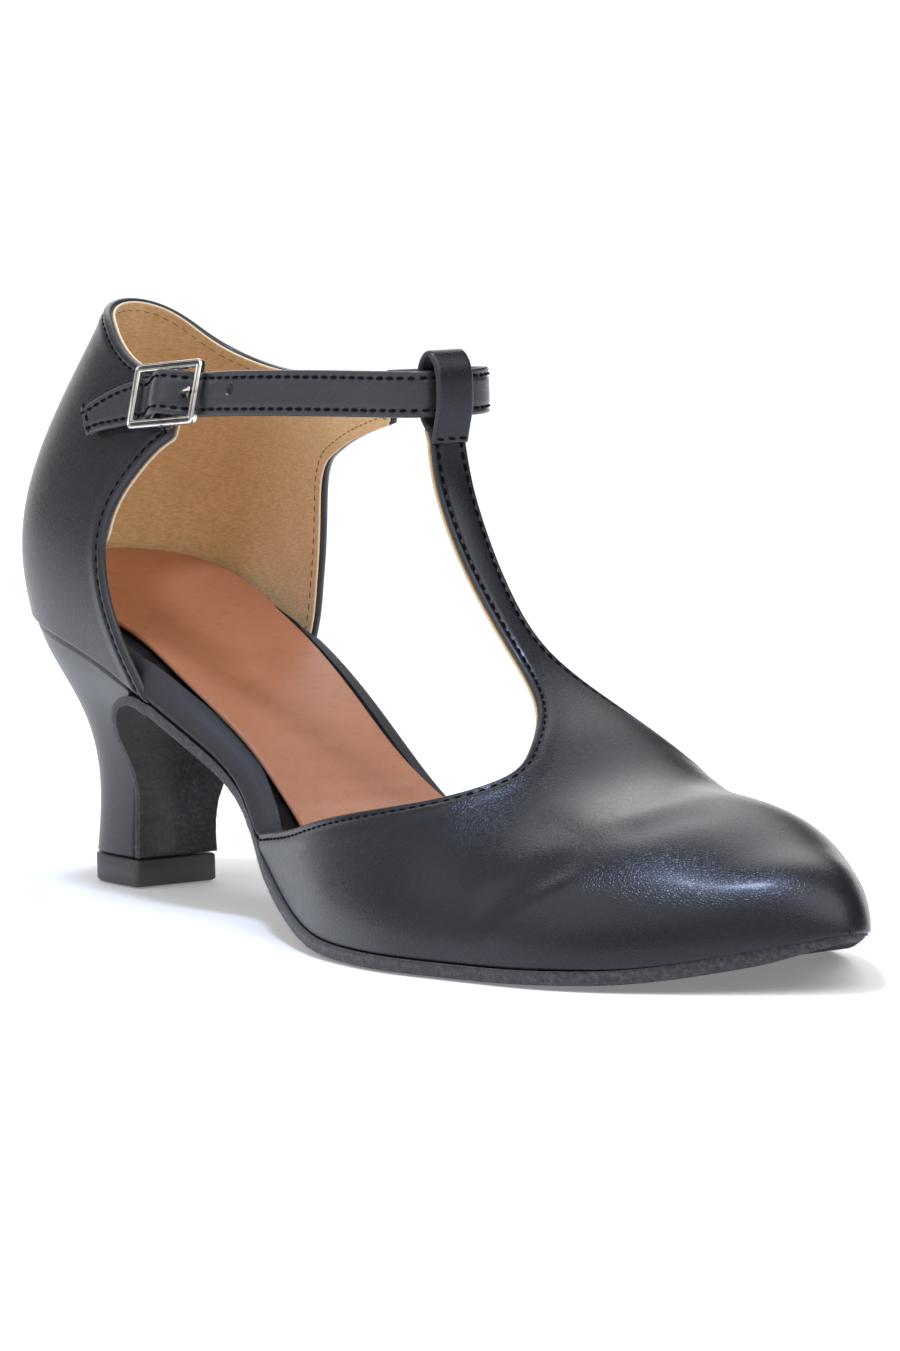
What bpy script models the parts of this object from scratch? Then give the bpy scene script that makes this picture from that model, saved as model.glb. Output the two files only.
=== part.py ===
"""A right-foot T-strap dance shoe: curved covered heel, open waist, ankle strap with a three-bar buckle.

The maths is in millimetres, in the last's own axes: x from the back of the heel seat to the toe,
y towards the medial side, z up from the floor. The finished pieces are in metres about ORIGIN.
"""

import bmesh
import bpy
import numpy as np

MM = 0.001

# Driving sizes
LENGTH = 244.0
ORIGIN = np.array([121.4, -5.8, 0.0])
GAP = 0.3
BREAST_GAP = 0.6
VAMP_WALL = 1.8
QUARTER_WALL = 2.2
SOLE_THICKNESS = 2.35
SOLE_EXTENSION = 0.8
SOLE_TOE_THINNING = 0.9
SOLE_TOE_TRIM = 0.8
FOREPART_START = 96.0
FOREPART_FULL = 112.0
TOE_START = 200.0
TOE_FULL = 238.0
TOP_PIECE_HEIGHT = 5.2
INSOLE_RISE = 5.6
INSOLE_LIFT = 0.1
INSOLE_CLEARANCE = 0.7
HEEL_PAD_RISE = 3.0
HEEL_PAD_FULL = 8.0
HEEL_PAD_END = 45.0
WAIST_BEHIND_LATERAL = 63.0
WAIST_BEHIND_MEDIAL = 50.0
WAIST_FRONT = 97.0
WAIST_EASE = 5.0
SOCK_THICKNESS = 1.2
PLATE_HEEL_ARC = 0.12
PLATE_TOE_ARC = 0.3
STRAP_WIDTH = 8.4
STRAP_TIP_WIDTH = 6.2
STRAP_TAPER_START = 0.88
STRAP_THICKNESS = 1.8
LOOP_WIDTH = 7.8


def table(names, rows):
    """Rows of numbers as named columns."""
    return dict(zip(names.split(), np.array(rows, float).T))


# The last's bottom: its two edges and the height of the feather line at each station
PLAN = table(
    "station lateral medial seat",
    [
        (0.0, 0.0, 0.0, 53.0),
        (5.0, -12.8, 12.6, 52.4),
        (14.0, -19.8, 19.6, 51.0),
        (28.0, -23.4, 23.2, 48.4),
        (45.0, -24.6, 23.0, 44.2),
        (60.0, -25.0, 21.0, 38.8),
        (75.0, -23.8, 18.6, 32.0),
        (88.0, -22.8, 17.0, 24.6),
        (100.0, -26.4, 16.6, 17.0),
        (112.0, -30.6, 17.8, 10.6),
        (125.0, -35.2, 21.0, 6.0),
        (138.0, -39.4, 25.0, 3.4),
        (152.0, -42.2, 28.6, 2.6),
        (166.0, -43.0, 31.0, 2.5),
        (182.0, -40.8, 31.2, 2.5),
        (198.0, -37.8, 28.6, 2.7),
        (208.0, -34.6, 25.2, 3.1),
        (217.0, -29.8, 20.8, 3.7),
        (226.0, -23.2, 15.4, 5.1),
        (234.0, -15.8, 10.2, 6.9),
        (239.5, -9.8, 6.2, 8.3),
        (242.5, -5.6, 3.2, 9.2),
        (244.0, -1.4, -1.4, 9.7),
    ],
)

# The vamp's girths: the feather station each starts from, its ridge point, and how full it is
GIRTHS = table(
    "feather ridge_x ridge_y ridge_z wall crown lean",
    [
        (94.0, 125.0, 2.0, 88.0, 0.60, 0.55, 0.04),
        (102.0, 125.9, 2.0, 80.0, 0.60, 0.55, 0.05),
        (110.0, 129.2, 2.0, 72.0, 0.60, 0.55, 0.06),
        (122.0, 136.4, 2.0, 61.5, 0.60, 0.56, 0.08),
        (134.0, 145.6, 2.0, 52.0, 0.60, 0.58, 0.10),
        (146.0, 156.2, 2.0, 44.6, 0.60, 0.60, 0.12),
        (160.0, 168.6, 1.8, 38.6, 0.60, 0.58, 0.13),
        (176.0, 182.0, 1.4, 33.0, 0.60, 0.55, 0.14),
        (194.0, 197.2, 1.0, 29.4, 0.60, 0.55, 0.15),
        (210.0, 211.6, 0.4, 27.2, 0.60, 0.56, 0.16),
        (224.0, 224.6, -0.2, 24.4, 0.60, 0.57, 0.16),
        (235.0, 234.6, -0.8, 20.4, 0.58, 0.57, 0.14),
        (241.0, 240.8, -1.2, 16.0, 0.55, 0.55, 0.10),
        (244.0, 244.0, -1.4, 10.2, 0.55, 0.55, 0.0),
    ],
)

# The vamp's cut edge on each side, from the waist round the throat and up the T-strap
THROAT = table(
    "lateral_girth lateral_share medial_girth medial_share",
    [
        (102.0, 0.015, 102.0, 0.015),
        (112.5, 0.085, 113.0, 0.09),
        (123.8, 0.167, 125.0, 0.175),
        (138.3, 0.293, 139.5, 0.30),
        (151.8, 0.42, 153.0, 0.43),
        (160.5, 0.543, 161.5, 0.55),
        (163.6, 0.68, 165.0, 0.68),
        (159.0, 0.79, 161.0, 0.775),
        (148.5, 0.905, 149.5, 0.848),
        (135.0, 0.952, 135.0, 0.905),
        (120.0, 0.938, 120.0, 0.886),
        (106.0, 0.912, 106.0, 0.855),
        (94.0, 0.895, 94.0, 0.888),
    ],
)

# Mesh columns of the vamp's wings and of its T-strap
WING_COLUMNS = 8
STRAP_COLUMNS = 9

# The band above the T-strap: up in front of the ankle strap, over it and down behind
LOOP = table(
    "x z",
    [
        (125.0, 88.0),
        (127.1, 92.0),
        (127.4, 97.0),
        (126.6, 101.6),
        (123.8, 103.8),
        (121.0, 101.6),
        (120.2, 97.0),
        (120.2, 92.5),
        (120.6, 88.6),
    ],
)

# The heel cup at heights above the seat: how far its back leans in and how wide it is
CUP = table(
    "rise back width sway",
    [
        (0.0, 0.0, 1.0, 0.0),
        (8.0, -1.2, 1.05, 0.0),
        (18.0, -0.6, 1.06, 0.0),
        (30.0, 4.0, 1.01, 0.3),
        (44.0, 12.4, 0.87, 0.8),
        (58.0, 21.6, 0.70, 1.5),
        (64.0, 25.4, 0.63, 1.8),
    ],
)
CUP_PIVOT = 75.0

# The cup's top line by seat station, negative on the lateral side
TOPLINE = table(
    "station height",
    [
        (-90.0, 98.6),
        (-66.0, 98.6),
        (-52.0, 98.9),
        (-41.0, 100.2),
        (-30.0, 103.4),
        (-19.0, 107.6),
        (-8.0, 110.6),
        (0.0, 111.3),
        (5.5, 107.2),
        (12.0, 103.2),
        (22.0, 99.8),
        (34.0, 97.9),
        (52.0, 97.3),
        (75.0, 97.9),
        (110.0, 98.6),
    ],
)

# The cup's front edges by share of its height, before they are cut at the tab and the tongue
FRONTS = table(
    "share lateral medial",
    [
        (0.0, 63.0, 46.8),
        (0.05, 60.6, 47.3),
        (0.11, 57.4, 47.9),
        (0.19, 54.0, 48.5),
        (0.26, 51.7, 49.1),
        (0.34, 50.0, 50.1),
        (0.425, 49.2, 51.1),
        (0.51, 50.0, 52.2),
        (0.595, 52.2, 53.8),
        (0.675, 55.5, 57.0),
        (0.745, 59.0, 64.0),
        (0.80, 63.0, 76.0),
        (0.85, 69.0, 92.0),
        (1.0, 97.0, 150.0),
    ],
)
TAB_END = 60.3
TONGUE_END = 90.0
SEAT_FRONT = 62.0
HEEL_FRONT = 54.5
FLAP_TURN = {"lateral": 0.75, "medial": 0.32}

# The heel block by share of its height: its back and its two sides
HEEL = table(
    "share back lateral medial",
    [
        (0.0, 10.8, -10.4, 7.6),
        (0.14, 12.4, -10.7, 7.0),
        (0.30, 13.6, -11.4, 6.9),
        (0.46, 13.3, -12.8, 8.6),
        (0.62, 10.8, -15.2, 12.2),
        (0.78, 6.2, -19.0, 17.0),
        (0.90, 2.8, -22.2, 20.8),
        (1.0, 0.4, -24.4, 22.8),
    ],
)

# The insole's wrapped edge by share of its height: its inset at the open waist, and its draw elsewhere
INSOLE_EDGE = table(
    "share open_inset draw",
    [
        (0.0, 0.9, 0.0),
        (0.22, 0.0, 0.0),
        (0.55, 0.6, 0.0),
        (0.85, 2.4, 0.3),
        (1.0, 4.6, 0.9),
    ],
)

# The sock's inset from the last's two edges: drawn in at the shank, out to the lateral edge at the waist
SOCK_EDGE = table(
    "station lateral medial",
    [
        (0.0, 4.1, 4.1),
        (22.0, 4.1, 4.1),
        (34.0, 4.7, 4.6),
        (44.0, 5.8, 6.0),
        (55.0, 6.1, 6.4),
        (66.0, 5.2, 6.4),
        (78.0, 4.0, 6.4),
        (85.0, 3.7, 6.4),
        (92.0, 4.6, 6.2),
        (100.0, 6.4, 5.4),
        (108.0, 7.2, 4.7),
        (122.0, 5.6, 4.2),
        (140.0, 4.4, 4.2),
        (165.0, 4.2, 4.2),
        (200.0, 4.2, 4.2),
        (244.0, 4.2, 4.2),
    ],
)

# The under face of the sole where it leaves the waist and turns down the breast
BREAST = table(
    "x z",
    [
        (62.0, 35.2),
        (56.0, 37.0),
        (50.5, 36.2),
        (45.8, 32.4),
        (41.8, 27.0),
        (38.6, 21.0),
        (36.2, 14.5),
        (34.8, 8.5),
        (34.4, 5.6),
    ],
)

# The ankle strap's middle line from the tongue round the front to its tip, and how its top leans in
STRAP = table(
    "x y z lean",
    [
        (90.4, 12.2, 94.6, 0.17),
        (103.0, 14.4, 95.2, 0.12),
        (113.2, 15.2, 95.7, 0.06),
        (120.9, 12.1, 96.0, 0.0),
        (123.9, 6.9, 96.0, 0.0),
        (123.7, 2.0, 96.0, 0.0),
        (123.2, -2.5, 96.0, 0.0),
        (118.2, -6.2, 96.0, 0.0),
        (108.0, -9.4, 96.0, 0.02),
        (94.2, -13.8, 95.9, 0.10),
        (79.5, -17.3, 95.5, 0.20),
        (66.6, -18.7, 94.7, 0.30),
        (55.1, -20.0, 93.4, 0.33),
        (45.6, -21.4, 91.3, 0.32),
        (38.0, -22.3, 88.7, 0.31),
    ],
)

# Buckle: x of its centre bar on the strap, then sizes along, across and out from the strap's middle
BUCKLE_X = 66.0
FRAME_REACH = 9.25
FRAME_SHIFT = 0.8
FRAME_HALF_HEIGHT = 5.35
FRAME_CORNER = 1.4
FRAME_OUT = 2.15
FRAME_RADIUS = 0.75
CENTRE_BAR_OUT = 1.45
CENTRE_BAR_RADIUS = 0.5
STRAP_BULGE = 4.0
PRONG_RADIUS = 0.4
PRONG_RING = 1.05
PRONG_TIP = (-8.6, 3.95)
PRONG_SLOT = (-6.7, -1.6, 1.9)
STAY_PLY = 0.6
STAY_WIDTH = 6.0
STAY_RING = 1.25
STAY_SLOT = (-3.0, 1.75)
CUTTER_OUT = (-6.0, 9.0)
STAY_TAILS = table("along upper lower", [(4.6, -1.45, -3.15), (3.0, 0.1, -1.9), (1.55, 1.85, -0.55)])


def spline(knots, values):
    """Natural cubic spline through a column, as a function of the knots' axis."""
    knots = np.asarray(knots, float)
    values = np.asarray(values, float)
    step = np.diff(knots)
    count = len(knots)
    system = np.eye(count)
    right = np.zeros(count)
    for i in range(1, count - 1):
        system[i, i - 1 : i + 2] = step[i - 1], 2 * (step[i - 1] + step[i]), step[i]
        slopes = np.diff(values[i - 1 : i + 2]) / step[i - 1 : i + 1]
        right[i] = 6 * (slopes[1] - slopes[0])
    bend = np.linalg.solve(system, right)

    def at(where):
        where = np.asarray(where, float)
        i = np.clip(np.searchsorted(knots, where) - 1, 0, count - 2)
        a = (knots[i + 1] - where) / step[i]
        b = 1 - a
        curved = (a**3 - a) * bend[i] + (b**3 - b) * bend[i + 1]
        return a * values[i] + b * values[i + 1] + curved * step[i] ** 2 / 6

    return at


def arc(station):
    """Angle that spaces stations closely at heel and toe, so that outlines close round."""
    return np.arccos(np.clip(1 - 2 * np.asarray(station, float) / LENGTH, -1, 1))


def station_at(angle):
    return LENGTH * (1 - np.cos(angle)) / 2


def smooth(low, high, value):
    """0 below low, 1 above high, with soft ends."""
    share = np.clip((np.asarray(value, float) - low) / (high - low), 0, 1)
    return share * share * (3 - 2 * share)


def path(columns):
    """Smooth curve through rows, as a function of a share of its chord length."""
    points = np.stack(columns, 1)
    length = np.concatenate([[0], np.cumsum(np.linalg.norm(np.diff(points[:, :3], axis=0), axis=1))])
    parts = [spline(length / length[-1], column) for column in columns]
    return lambda share: np.stack([part(share) for part in parts], -1)


plan_arc = arc(PLAN["station"])
lateral_by_arc = spline(plan_arc, PLAN["lateral"])
medial_by_arc = spline(plan_arc, PLAN["medial"])
seat = spline(PLAN["station"], PLAN["seat"])
girth_arc = arc(GIRTHS["feather"])
girth = {name: spline(girth_arc, GIRTHS[name]) for name in GIRTHS if name != "feather"}
cup = {name: spline(CUP["rise"], CUP[name]) for name in ("back", "width", "sway")}
topline = spline(np.sign(TOPLINE["station"]) * arc(abs(TOPLINE["station"])), TOPLINE["height"])
heel = {name: spline(HEEL["share"], HEEL[name]) for name in ("back", "lateral", "medial")}


def edge_at(x, side):
    """Feather line of one side, -1 lateral or 1 medial."""
    return np.where(np.asarray(side) < 0, lateral_by_arc(arc(x)), medial_by_arc(arc(x)))


def outline(inset, angles):
    """Lateral and medial plan points of the last's bottom, drawn in by a distance that may vary."""
    x = station_at(angles)
    sides = []
    for side in (-1, 1):
        points = np.stack([x, edge_at(x, side)], 1)
        along = np.gradient(points, axis=0)
        along /= np.linalg.norm(along, axis=1, keepdims=True)
        inward = -side * np.stack([-along[:, 1], along[:, 0]], 1)
        sides.append(points + inward * np.broadcast_to(inset, x.shape)[:, None])
    return sides


def lifted(plan, height):
    return np.column_stack([plan, height])


def material(name, colour, roughness, metallic=0.0):
    made = bpy.data.materials.new(name)
    made.use_nodes = True
    shader = made.node_tree.nodes["Principled BSDF"]
    shader.inputs["Base Color"].default_value = (*colour, 1.0)
    shader.inputs["Roughness"].default_value = roughness
    shader.inputs["Metallic"].default_value = metallic
    return made


def add_object(name, points, faces, finish, closed):
    """A mesh object from last coordinates; a closed one gets its faces turned outwards."""
    points = (np.asarray(points, float) - ORIGIN) * MM
    mesh = bpy.data.meshes.new(name)
    mesh.from_pydata(points.tolist(), [], [list(map(int, face)) for face in faces])
    work = bmesh.new()
    work.from_mesh(mesh)
    bmesh.ops.remove_doubles(work, verts=work.verts, dist=0.00001)
    bmesh.ops.dissolve_degenerate(work, edges=work.edges, dist=0.000005)
    if closed:
        bmesh.ops.recalc_face_normals(work, faces=work.faces)
    work.to_mesh(mesh)
    work.free()
    mesh.shade_smooth()
    mesh.materials.append(finish)
    made = bpy.data.objects.new(name, mesh)
    bpy.context.scene.collection.objects.link(made)
    return made


def grid_faces(rows, columns, start=0):
    """Quads of a grid of points that is stored row by row."""
    corner = start + np.arange(rows - 1)[:, None] * columns + np.arange(columns - 1)[None, :]
    corner = corner.reshape(-1)
    return np.stack([corner, corner + columns, corner + columns + 1, corner + 1], 1).tolist()


def add_stack(name, levels, finish):
    """A solid between levels, each a lateral and a medial row of points that meet at a closed end."""
    count = len(levels[0][0])
    rows = [row for level in levels for row in level]
    points = np.concatenate(rows)
    faces = []
    for low in (0, len(levels) - 1):
        left = 2 * low * count
        faces += grid_faces(2, count, left)
    for low in range(len(levels) - 1):
        for side in (0, 1):
            here = (2 * low + side) * count + np.arange(count - 1)
            above = here + 2 * count
            faces += np.stack([here, here + 1, above + 1, above], 1).tolist()
        for end in (0, count - 1):
            here = 2 * low * count + end
            faces.append([here, here + count, here + 3 * count, here + 2 * count])
    return add_object(name, points, faces, finish, closed=True)


def add_wall(name, grids, thickness, finish):
    """Open grids that share rows, joined and thickened inwards."""
    points = np.concatenate([grid.reshape(-1, 3) for grid in grids])
    faces = []
    start = 0
    for grid in grids:
        faces += grid_faces(grid.shape[0], grid.shape[1], start)
        start += grid.shape[0] * grid.shape[1]
    made = add_object(name, points, faces, finish, closed=False)
    wall = made.modifiers.new("wall", "SOLIDIFY")
    wall.thickness = thickness * MM
    wall.offset = -1.0
    wall.use_even_offset = True
    return made


# Sole, heel and insole


def breast_front(z):
    """How far forward the heel's breast stands at a height, behind the sole's flap."""
    back_face = flap_faces()[0]
    down = back_face[np.argmax(back_face[:, 1]) :][::-1]
    return np.minimum(np.interp(z, down[:, 1], down[:, 0]) - BREAST_GAP, HEEL_FRONT)


def flap_faces():
    """Back and front faces of the sole's turned-down flap, in the side plane."""
    front = path([BREAST["x"], BREAST["z"]])(np.linspace(0, 1, 17))
    along = np.gradient(front, axis=0)
    along /= np.linalg.norm(along, axis=1, keepdims=True)
    normal = np.stack([along[:, 1], -along[:, 0]], 1)
    return front + normal * SOLE_THICKNESS, front


def open_waist(x, side):
    """1 where the upper leaves the insole's edge bare, 0 where it closes round it."""
    behind = WAIST_BEHIND_LATERAL if side < 0 else WAIST_BEHIND_MEDIAL
    return smooth(behind, behind + WAIST_EASE, x) * (1 - smooth(WAIST_FRONT, WAIST_FRONT + WAIST_EASE, x))


def heel_row(share, bottom):
    """Lateral and medial points round the heel block at a share of its height."""
    x0 = station_at(np.linspace(0, arc(HEEL_FRONT), 15))
    reach = x0 / x0[-1]
    back = heel["back"](share)
    front = HEEL_FRONT
    for _ in range(20):
        front = (front + breast_front(bottom + share * (seat(front) - GAP - bottom))) / 2
    x = back + reach * (front - back)
    z = bottom + share * (seat(x) - GAP - bottom)
    sides = []
    for side, name in ((-1, "lateral"), (1, "medial")):
        shape = edge_at(x0, side) / abs(edge_at(x0, side)).max()
        sides.append(np.stack([x, shape * abs(heel[name](share)), z], 1))
    return sides


def build_heel(leather, rubber):
    bottom = TOP_PIECE_HEIGHT + GAP
    shares = 1 - np.linspace(1, 0, 15) ** 1.5
    add_stack("heel", [heel_row(share, bottom) for share in shares], leather)
    foot = heel_row(0.0, bottom)
    front = BREAST["x"][-1]
    levels = []
    for z in (0.0, TOP_PIECE_HEIGHT):
        rows = []
        for row in foot:
            reach = (row[:, 0] - row[0, 0]) / (row[-1, 0] - row[0, 0])
            level = row.copy()
            level[:, 0] += reach * (front - row[-1, 0])
            level[:, 2] = z
            rows.append(level)
        levels.append(rows)
    add_stack("top_piece", levels, rubber)


def build_outsole(suede):
    angles = np.linspace(arc(BREAST["x"][0]), np.pi, 44)
    x = station_at(angles)
    toe = smooth(TOE_START, TOE_FULL, x)
    extension = -SOLE_EXTENSION * smooth(FOREPART_START, FOREPART_FULL, x) * (1 - SOLE_TOE_TRIM * toe)
    top = seat(x) - GAP
    under = np.maximum(top - SOLE_THICKNESS + SOLE_TOE_THINNING * toe, 0.0)
    levels = []
    back_face, front_face = flap_faces()
    for flap, height in ((front_face, under), (back_face, top)):
        rows = []
        for side, plan in zip((-1, 1), outline(extension, angles)):
            share = (flap[1:, 1] - TOP_PIECE_HEIGHT) / (seat(HEEL_FRONT) - TOP_PIECE_HEIGHT)
            name = "lateral" if side < 0 else "medial"
            y = heel[name](np.clip(share, 0, 1))
            turn = smooth(0, FLAP_TURN[name], np.linspace(0, 1, len(flap))[1:])
            y = y * turn + edge_at(flap[1:, 0], side) * (1 - turn)
            down = np.stack([flap[1:, 0], y, flap[1:, 1]], 1)
            rows.append(np.concatenate([down[::-1], lifted(plan, height)]))
        levels.append(rows)
    add_stack("outsole", levels, suede)


def insole_rise(x):
    return INSOLE_RISE + HEEL_PAD_RISE * (1 - smooth(HEEL_PAD_FULL, HEEL_PAD_END, x))


def plate_rows(angles, insets, lift):
    """One level of a plate inside the upper: its own inset each side and a height above the seat."""
    rows = []
    for side, inset in zip((-1, 1), insets):
        plan = outline(inset, angles)[0 if side < 0 else 1]
        rows.append(lifted(plan, seat(plan[:, 0]) + lift))
    return rows


def build_insole(board, sock_leather):
    angles = np.linspace(PLATE_HEEL_ARC, np.pi - PLATE_TOE_ARC, 50)
    x = station_at(angles)
    waist = [open_waist(x, side) for side in (-1, 1)]
    closed_inset = QUARTER_WALL + INSOLE_CLEARANCE
    rise = insole_rise(x)
    levels = []
    for share, open_inset, draw in zip(*(INSOLE_EDGE[name] for name in ("share", "open_inset", "draw"))):
        insets = [closed_inset + draw + (open_inset - closed_inset - draw) * weight for weight in waist]
        levels.append(plate_rows(angles, insets, INSOLE_LIFT + share * (rise - INSOLE_LIFT)))
    add_stack("insole", levels, board)
    insets = [spline(SOCK_EDGE["station"], SOCK_EDGE[name])(x) for name in ("lateral", "medial")]
    lifts = (rise + GAP, rise + GAP + SOCK_THICKNESS)
    add_stack("sock", [plate_rows(angles, insets, lift) for lift in lifts], sock_leather)


# Upper


def vamp_point(feather, share, side):
    """Point of the vamp's skin on the girth from a feather station, 0 at the feather, 1 at the ridge."""
    feather, share, side = np.broadcast_arrays(*(np.asarray(v, float) for v in (feather, share, side)))
    angle = arc(feather)
    ridge = np.stack([girth[name](angle) for name in ("ridge_x", "ridge_y", "ridge_z")], -1)
    start = np.stack([feather, edge_at(feather, side), seat(feather) + GAP], -1)
    half = (edge_at(feather, 1) - edge_at(feather, -1)) / 2
    tall = ridge[..., 2] - start[..., 2]
    wall = girth["wall"](angle)
    first = start.copy()
    first[..., 0] += wall * (ridge[..., 0] - feather)
    first[..., 1] += side * girth["lean"](angle) * wall * tall
    first[..., 2] += wall * tall
    second = ridge.copy()
    second[..., 1] += side * girth["crown"](angle) * half
    b = share[..., None]
    a = 1 - b
    return a**3 * start + 3 * a * a * b * first + 3 * a * b * b * second + b**3 * ridge


def throat_curves():
    """Cut edge of each side as girth and share by row number, with the row where it is furthest forward."""
    rows = np.arange(len(THROAT["lateral_girth"]))
    fine = np.linspace(0, rows[-1], 400)
    curves = []
    for side in ("lateral", "medial"):
        girth_of = spline(rows, THROAT[side + "_girth"])
        share_of = spline(rows, THROAT[side + "_share"])
        crotch = fine[np.argmax(girth_of(fine))]
        curves.append((girth_of, share_of, crotch, rows[-1]))
    return curves


def across(lateral, medial, columns):
    """A row over the ridge from a lateral to a medial girth and share."""
    signed = np.linspace(-1, 1, columns)
    share = np.where(signed < 0, 1 + signed * (1 - lateral[1]), 1 - signed * (1 - medial[1]))
    feather = lateral[0] + (medial[0] - lateral[0]) * (signed + 1) / 2
    return vamp_point(feather, share, np.where(signed < 0, -1, 1))


def wing_row(feather, share, side):
    """A row of a wing from the feather line to its edge, lateral or medial."""
    shares = np.linspace(0, share, WING_COLUMNS)
    row = vamp_point(feather, shares, side)
    return row if side < 0 else row[::-1]


def vamp_grids():
    """Forepart, two wings, T-strap and loop, each a grid that shares a row with its neighbour."""
    curves = throat_curves()
    starts = [(girth_of(crotch), share_of(crotch)) for girth_of, share_of, crotch, _ in curves]
    forepart = []
    for step in np.sin(np.linspace(0, np.pi / 2, 20)):
        ends = [(first + (LENGTH - first) * step, share) for first, share in starts]
        left = wing_row(*ends[0], -1)
        right = wing_row(*ends[1], 1)
        middle = across(ends[0], ends[1], STRAP_COLUMNS)
        forepart.append(np.concatenate([left[:-1], middle, right[1:]]))
    grids = [np.array(forepart)]
    for side, (girth_of, share_of, crotch, _) in zip((-1, 1), curves):
        steps = crotch * np.sin(np.linspace(np.pi / 2, 0, 12))
        rows = [wing_row(girth_of(step), share_of(step), side) for step in steps]
        grids.append(np.array(rows)[::-1])
    climb = np.linspace(0, 1, 17)
    strap = []
    for share in climb:
        ends = []
        for girth_of, share_of, crotch, last in curves:
            step = crotch + (last - crotch) * share
            ends.append((girth_of(step), share_of(step)))
        strap.append(across(ends[0], ends[1], STRAP_COLUMNS))
    strap += loop_rows(strap[-1])
    grids.append(np.array(strap)[::-1])
    return grids


def loop_rows(top):
    """Rows of the folded loop, going on from the T-strap's top row."""
    middle = path([LOOP["x"], LOOP["z"]])(np.linspace(0, 1, 19))[1:]
    signed = np.linspace(-1, 1, STRAP_COLUMNS)
    rows = []
    for x, z in middle:
        y = top[:, 1].mean() + signed * LOOP_WIDTH / 2
        rows.append(np.stack([np.full(STRAP_COLUMNS, x), y, np.full(STRAP_COLUMNS, z)], 1))
    return rows


def cup_point(station, share):
    """Point of the heel cup's skin: seat station, negative on the lateral side, and share of height."""
    station = np.asarray(station, float)
    x0 = abs(station)
    side = np.where(station < 0, -1, 1)
    low = seat(np.minimum(x0, SEAT_FRONT))
    rise = share * (topline(side * arc(x0)) - low)
    back = cup["back"](rise)
    x = back + x0 * (1 - back / CUP_PIVOT)
    y = edge_at(x0, side) * cup["width"](rise) + cup["sway"](rise)
    return np.stack([x, y, low + rise], -1)


def seat_station(x, share, side):
    """Seat station whose point at this share of height stands at x."""
    station = x
    for _ in range(12):
        station = station + x - cup_point(side * station, share)[0]
    return station


def build_quarter(leather):
    fronts = {name: spline(FRONTS["share"], FRONTS[name]) for name in ("lateral", "medial")}
    rows = []
    for share in np.linspace(0, 1, 16):
        lateral_end = seat_station(min(fronts["lateral"](share), TAB_END), share, -1)
        medial_end = seat_station(min(fronts["medial"](share), TONGUE_END), share, 1)
        signed = np.linspace(-arc(lateral_end), arc(medial_end), 37)
        rows.append(cup_point(np.sign(signed) * station_at(abs(signed)), share))
    add_wall("quarter", [np.array(rows)], QUARTER_WALL, leather)


# Ankle strap and buckle

strap_course = path([STRAP[name] for name in ("x", "y", "z", "lean")])


def strap_frame(share):
    """Middle point, direction, outward normal and width direction of the strap before it is woven."""
    here = strap_course(share)
    along = (strap_course(share + 0.002) - strap_course(share - 0.002))[:3]
    along /= np.linalg.norm(along)
    outward = np.array([-along[1], along[0], 0.0])
    outward /= np.linalg.norm(outward)
    upward = np.array([0.0, 0.0, 1.0]) - outward * here[3]
    upward -= along * (upward @ along)
    upward /= np.linalg.norm(upward)
    return here[:3], along, np.cross(upward, along), upward


def buckle_share():
    """Share of the strap's course at the buckle's centre bar, on the lateral run."""
    shares = np.linspace(0.4, 1, 2000)
    return shares[np.argmin(abs(strap_course(shares)[:, 0] - BUCKLE_X))]


def buckle_place(along, across_strap, out):
    """Point given along the strap from the centre bar, across it and out from it."""
    middle, direction, outward, upward = strap_frame(buckle_share())
    return middle + direction * along + upward * across_strap + outward * out


def weave(distance):
    """How far the strap rides out over the centre bar, by distance from it towards the tip."""
    reach = FRAME_REACH + FRAME_SHIFT * np.sign(distance)
    inside = np.clip(abs(distance) / reach, 0, 1)
    return STRAP_BULGE * np.cos(inside * np.pi / 2) ** 2


def build_strap(leather):
    shares = np.linspace(0, 1, 90)
    points = strap_course(shares)[:, :3]
    run = np.concatenate([[0], np.cumsum(np.linalg.norm(np.diff(points, axis=0), axis=1))])
    bar = np.interp(buckle_share(), shares, run)
    rows = []
    for share, length in zip(shares, run):
        middle, along, outward, upward = strap_frame(np.clip(share, 0.002, 0.998))
        width = STRAP_WIDTH + (STRAP_TIP_WIDTH - STRAP_WIDTH) * smooth(STRAP_TAPER_START, 1.0, share)
        face = middle + outward * (STRAP_THICKNESS / 2 + weave(length - bar))
        rows.append([face + upward * width * step for step in (0.5, 0.0, -0.5)])
    strap = add_wall("ankle_strap", [np.array(rows)], STRAP_THICKNESS, leather)
    first, last, width = PRONG_SLOT
    cut_box(strap, "prong_slot", (first, last), width)


def cut_box(target, name, span, width):
    """Cut a slot through a piece at the buckle, over a span along the strap and a width across it."""
    corners = [
        buckle_place(along, across_strap, out)
        for along in span
        for across_strap in (-width / 2, width / 2)
        for out in CUTTER_OUT
    ]
    faces = [(0, 1, 3, 2), (4, 6, 7, 5), (0, 4, 5, 1), (2, 3, 7, 6), (0, 2, 6, 4), (1, 5, 7, 3)]
    cutter = add_object(name, corners, faces, target.data.materials[0], closed=True)
    cutter.hide_render = True
    cutter.display_type = "WIRE"
    cut = target.modifiers.new(name, "BOOLEAN")
    cut.operation = "DIFFERENCE"
    cut.solver = "EXACT"
    cut.object = cutter


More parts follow.
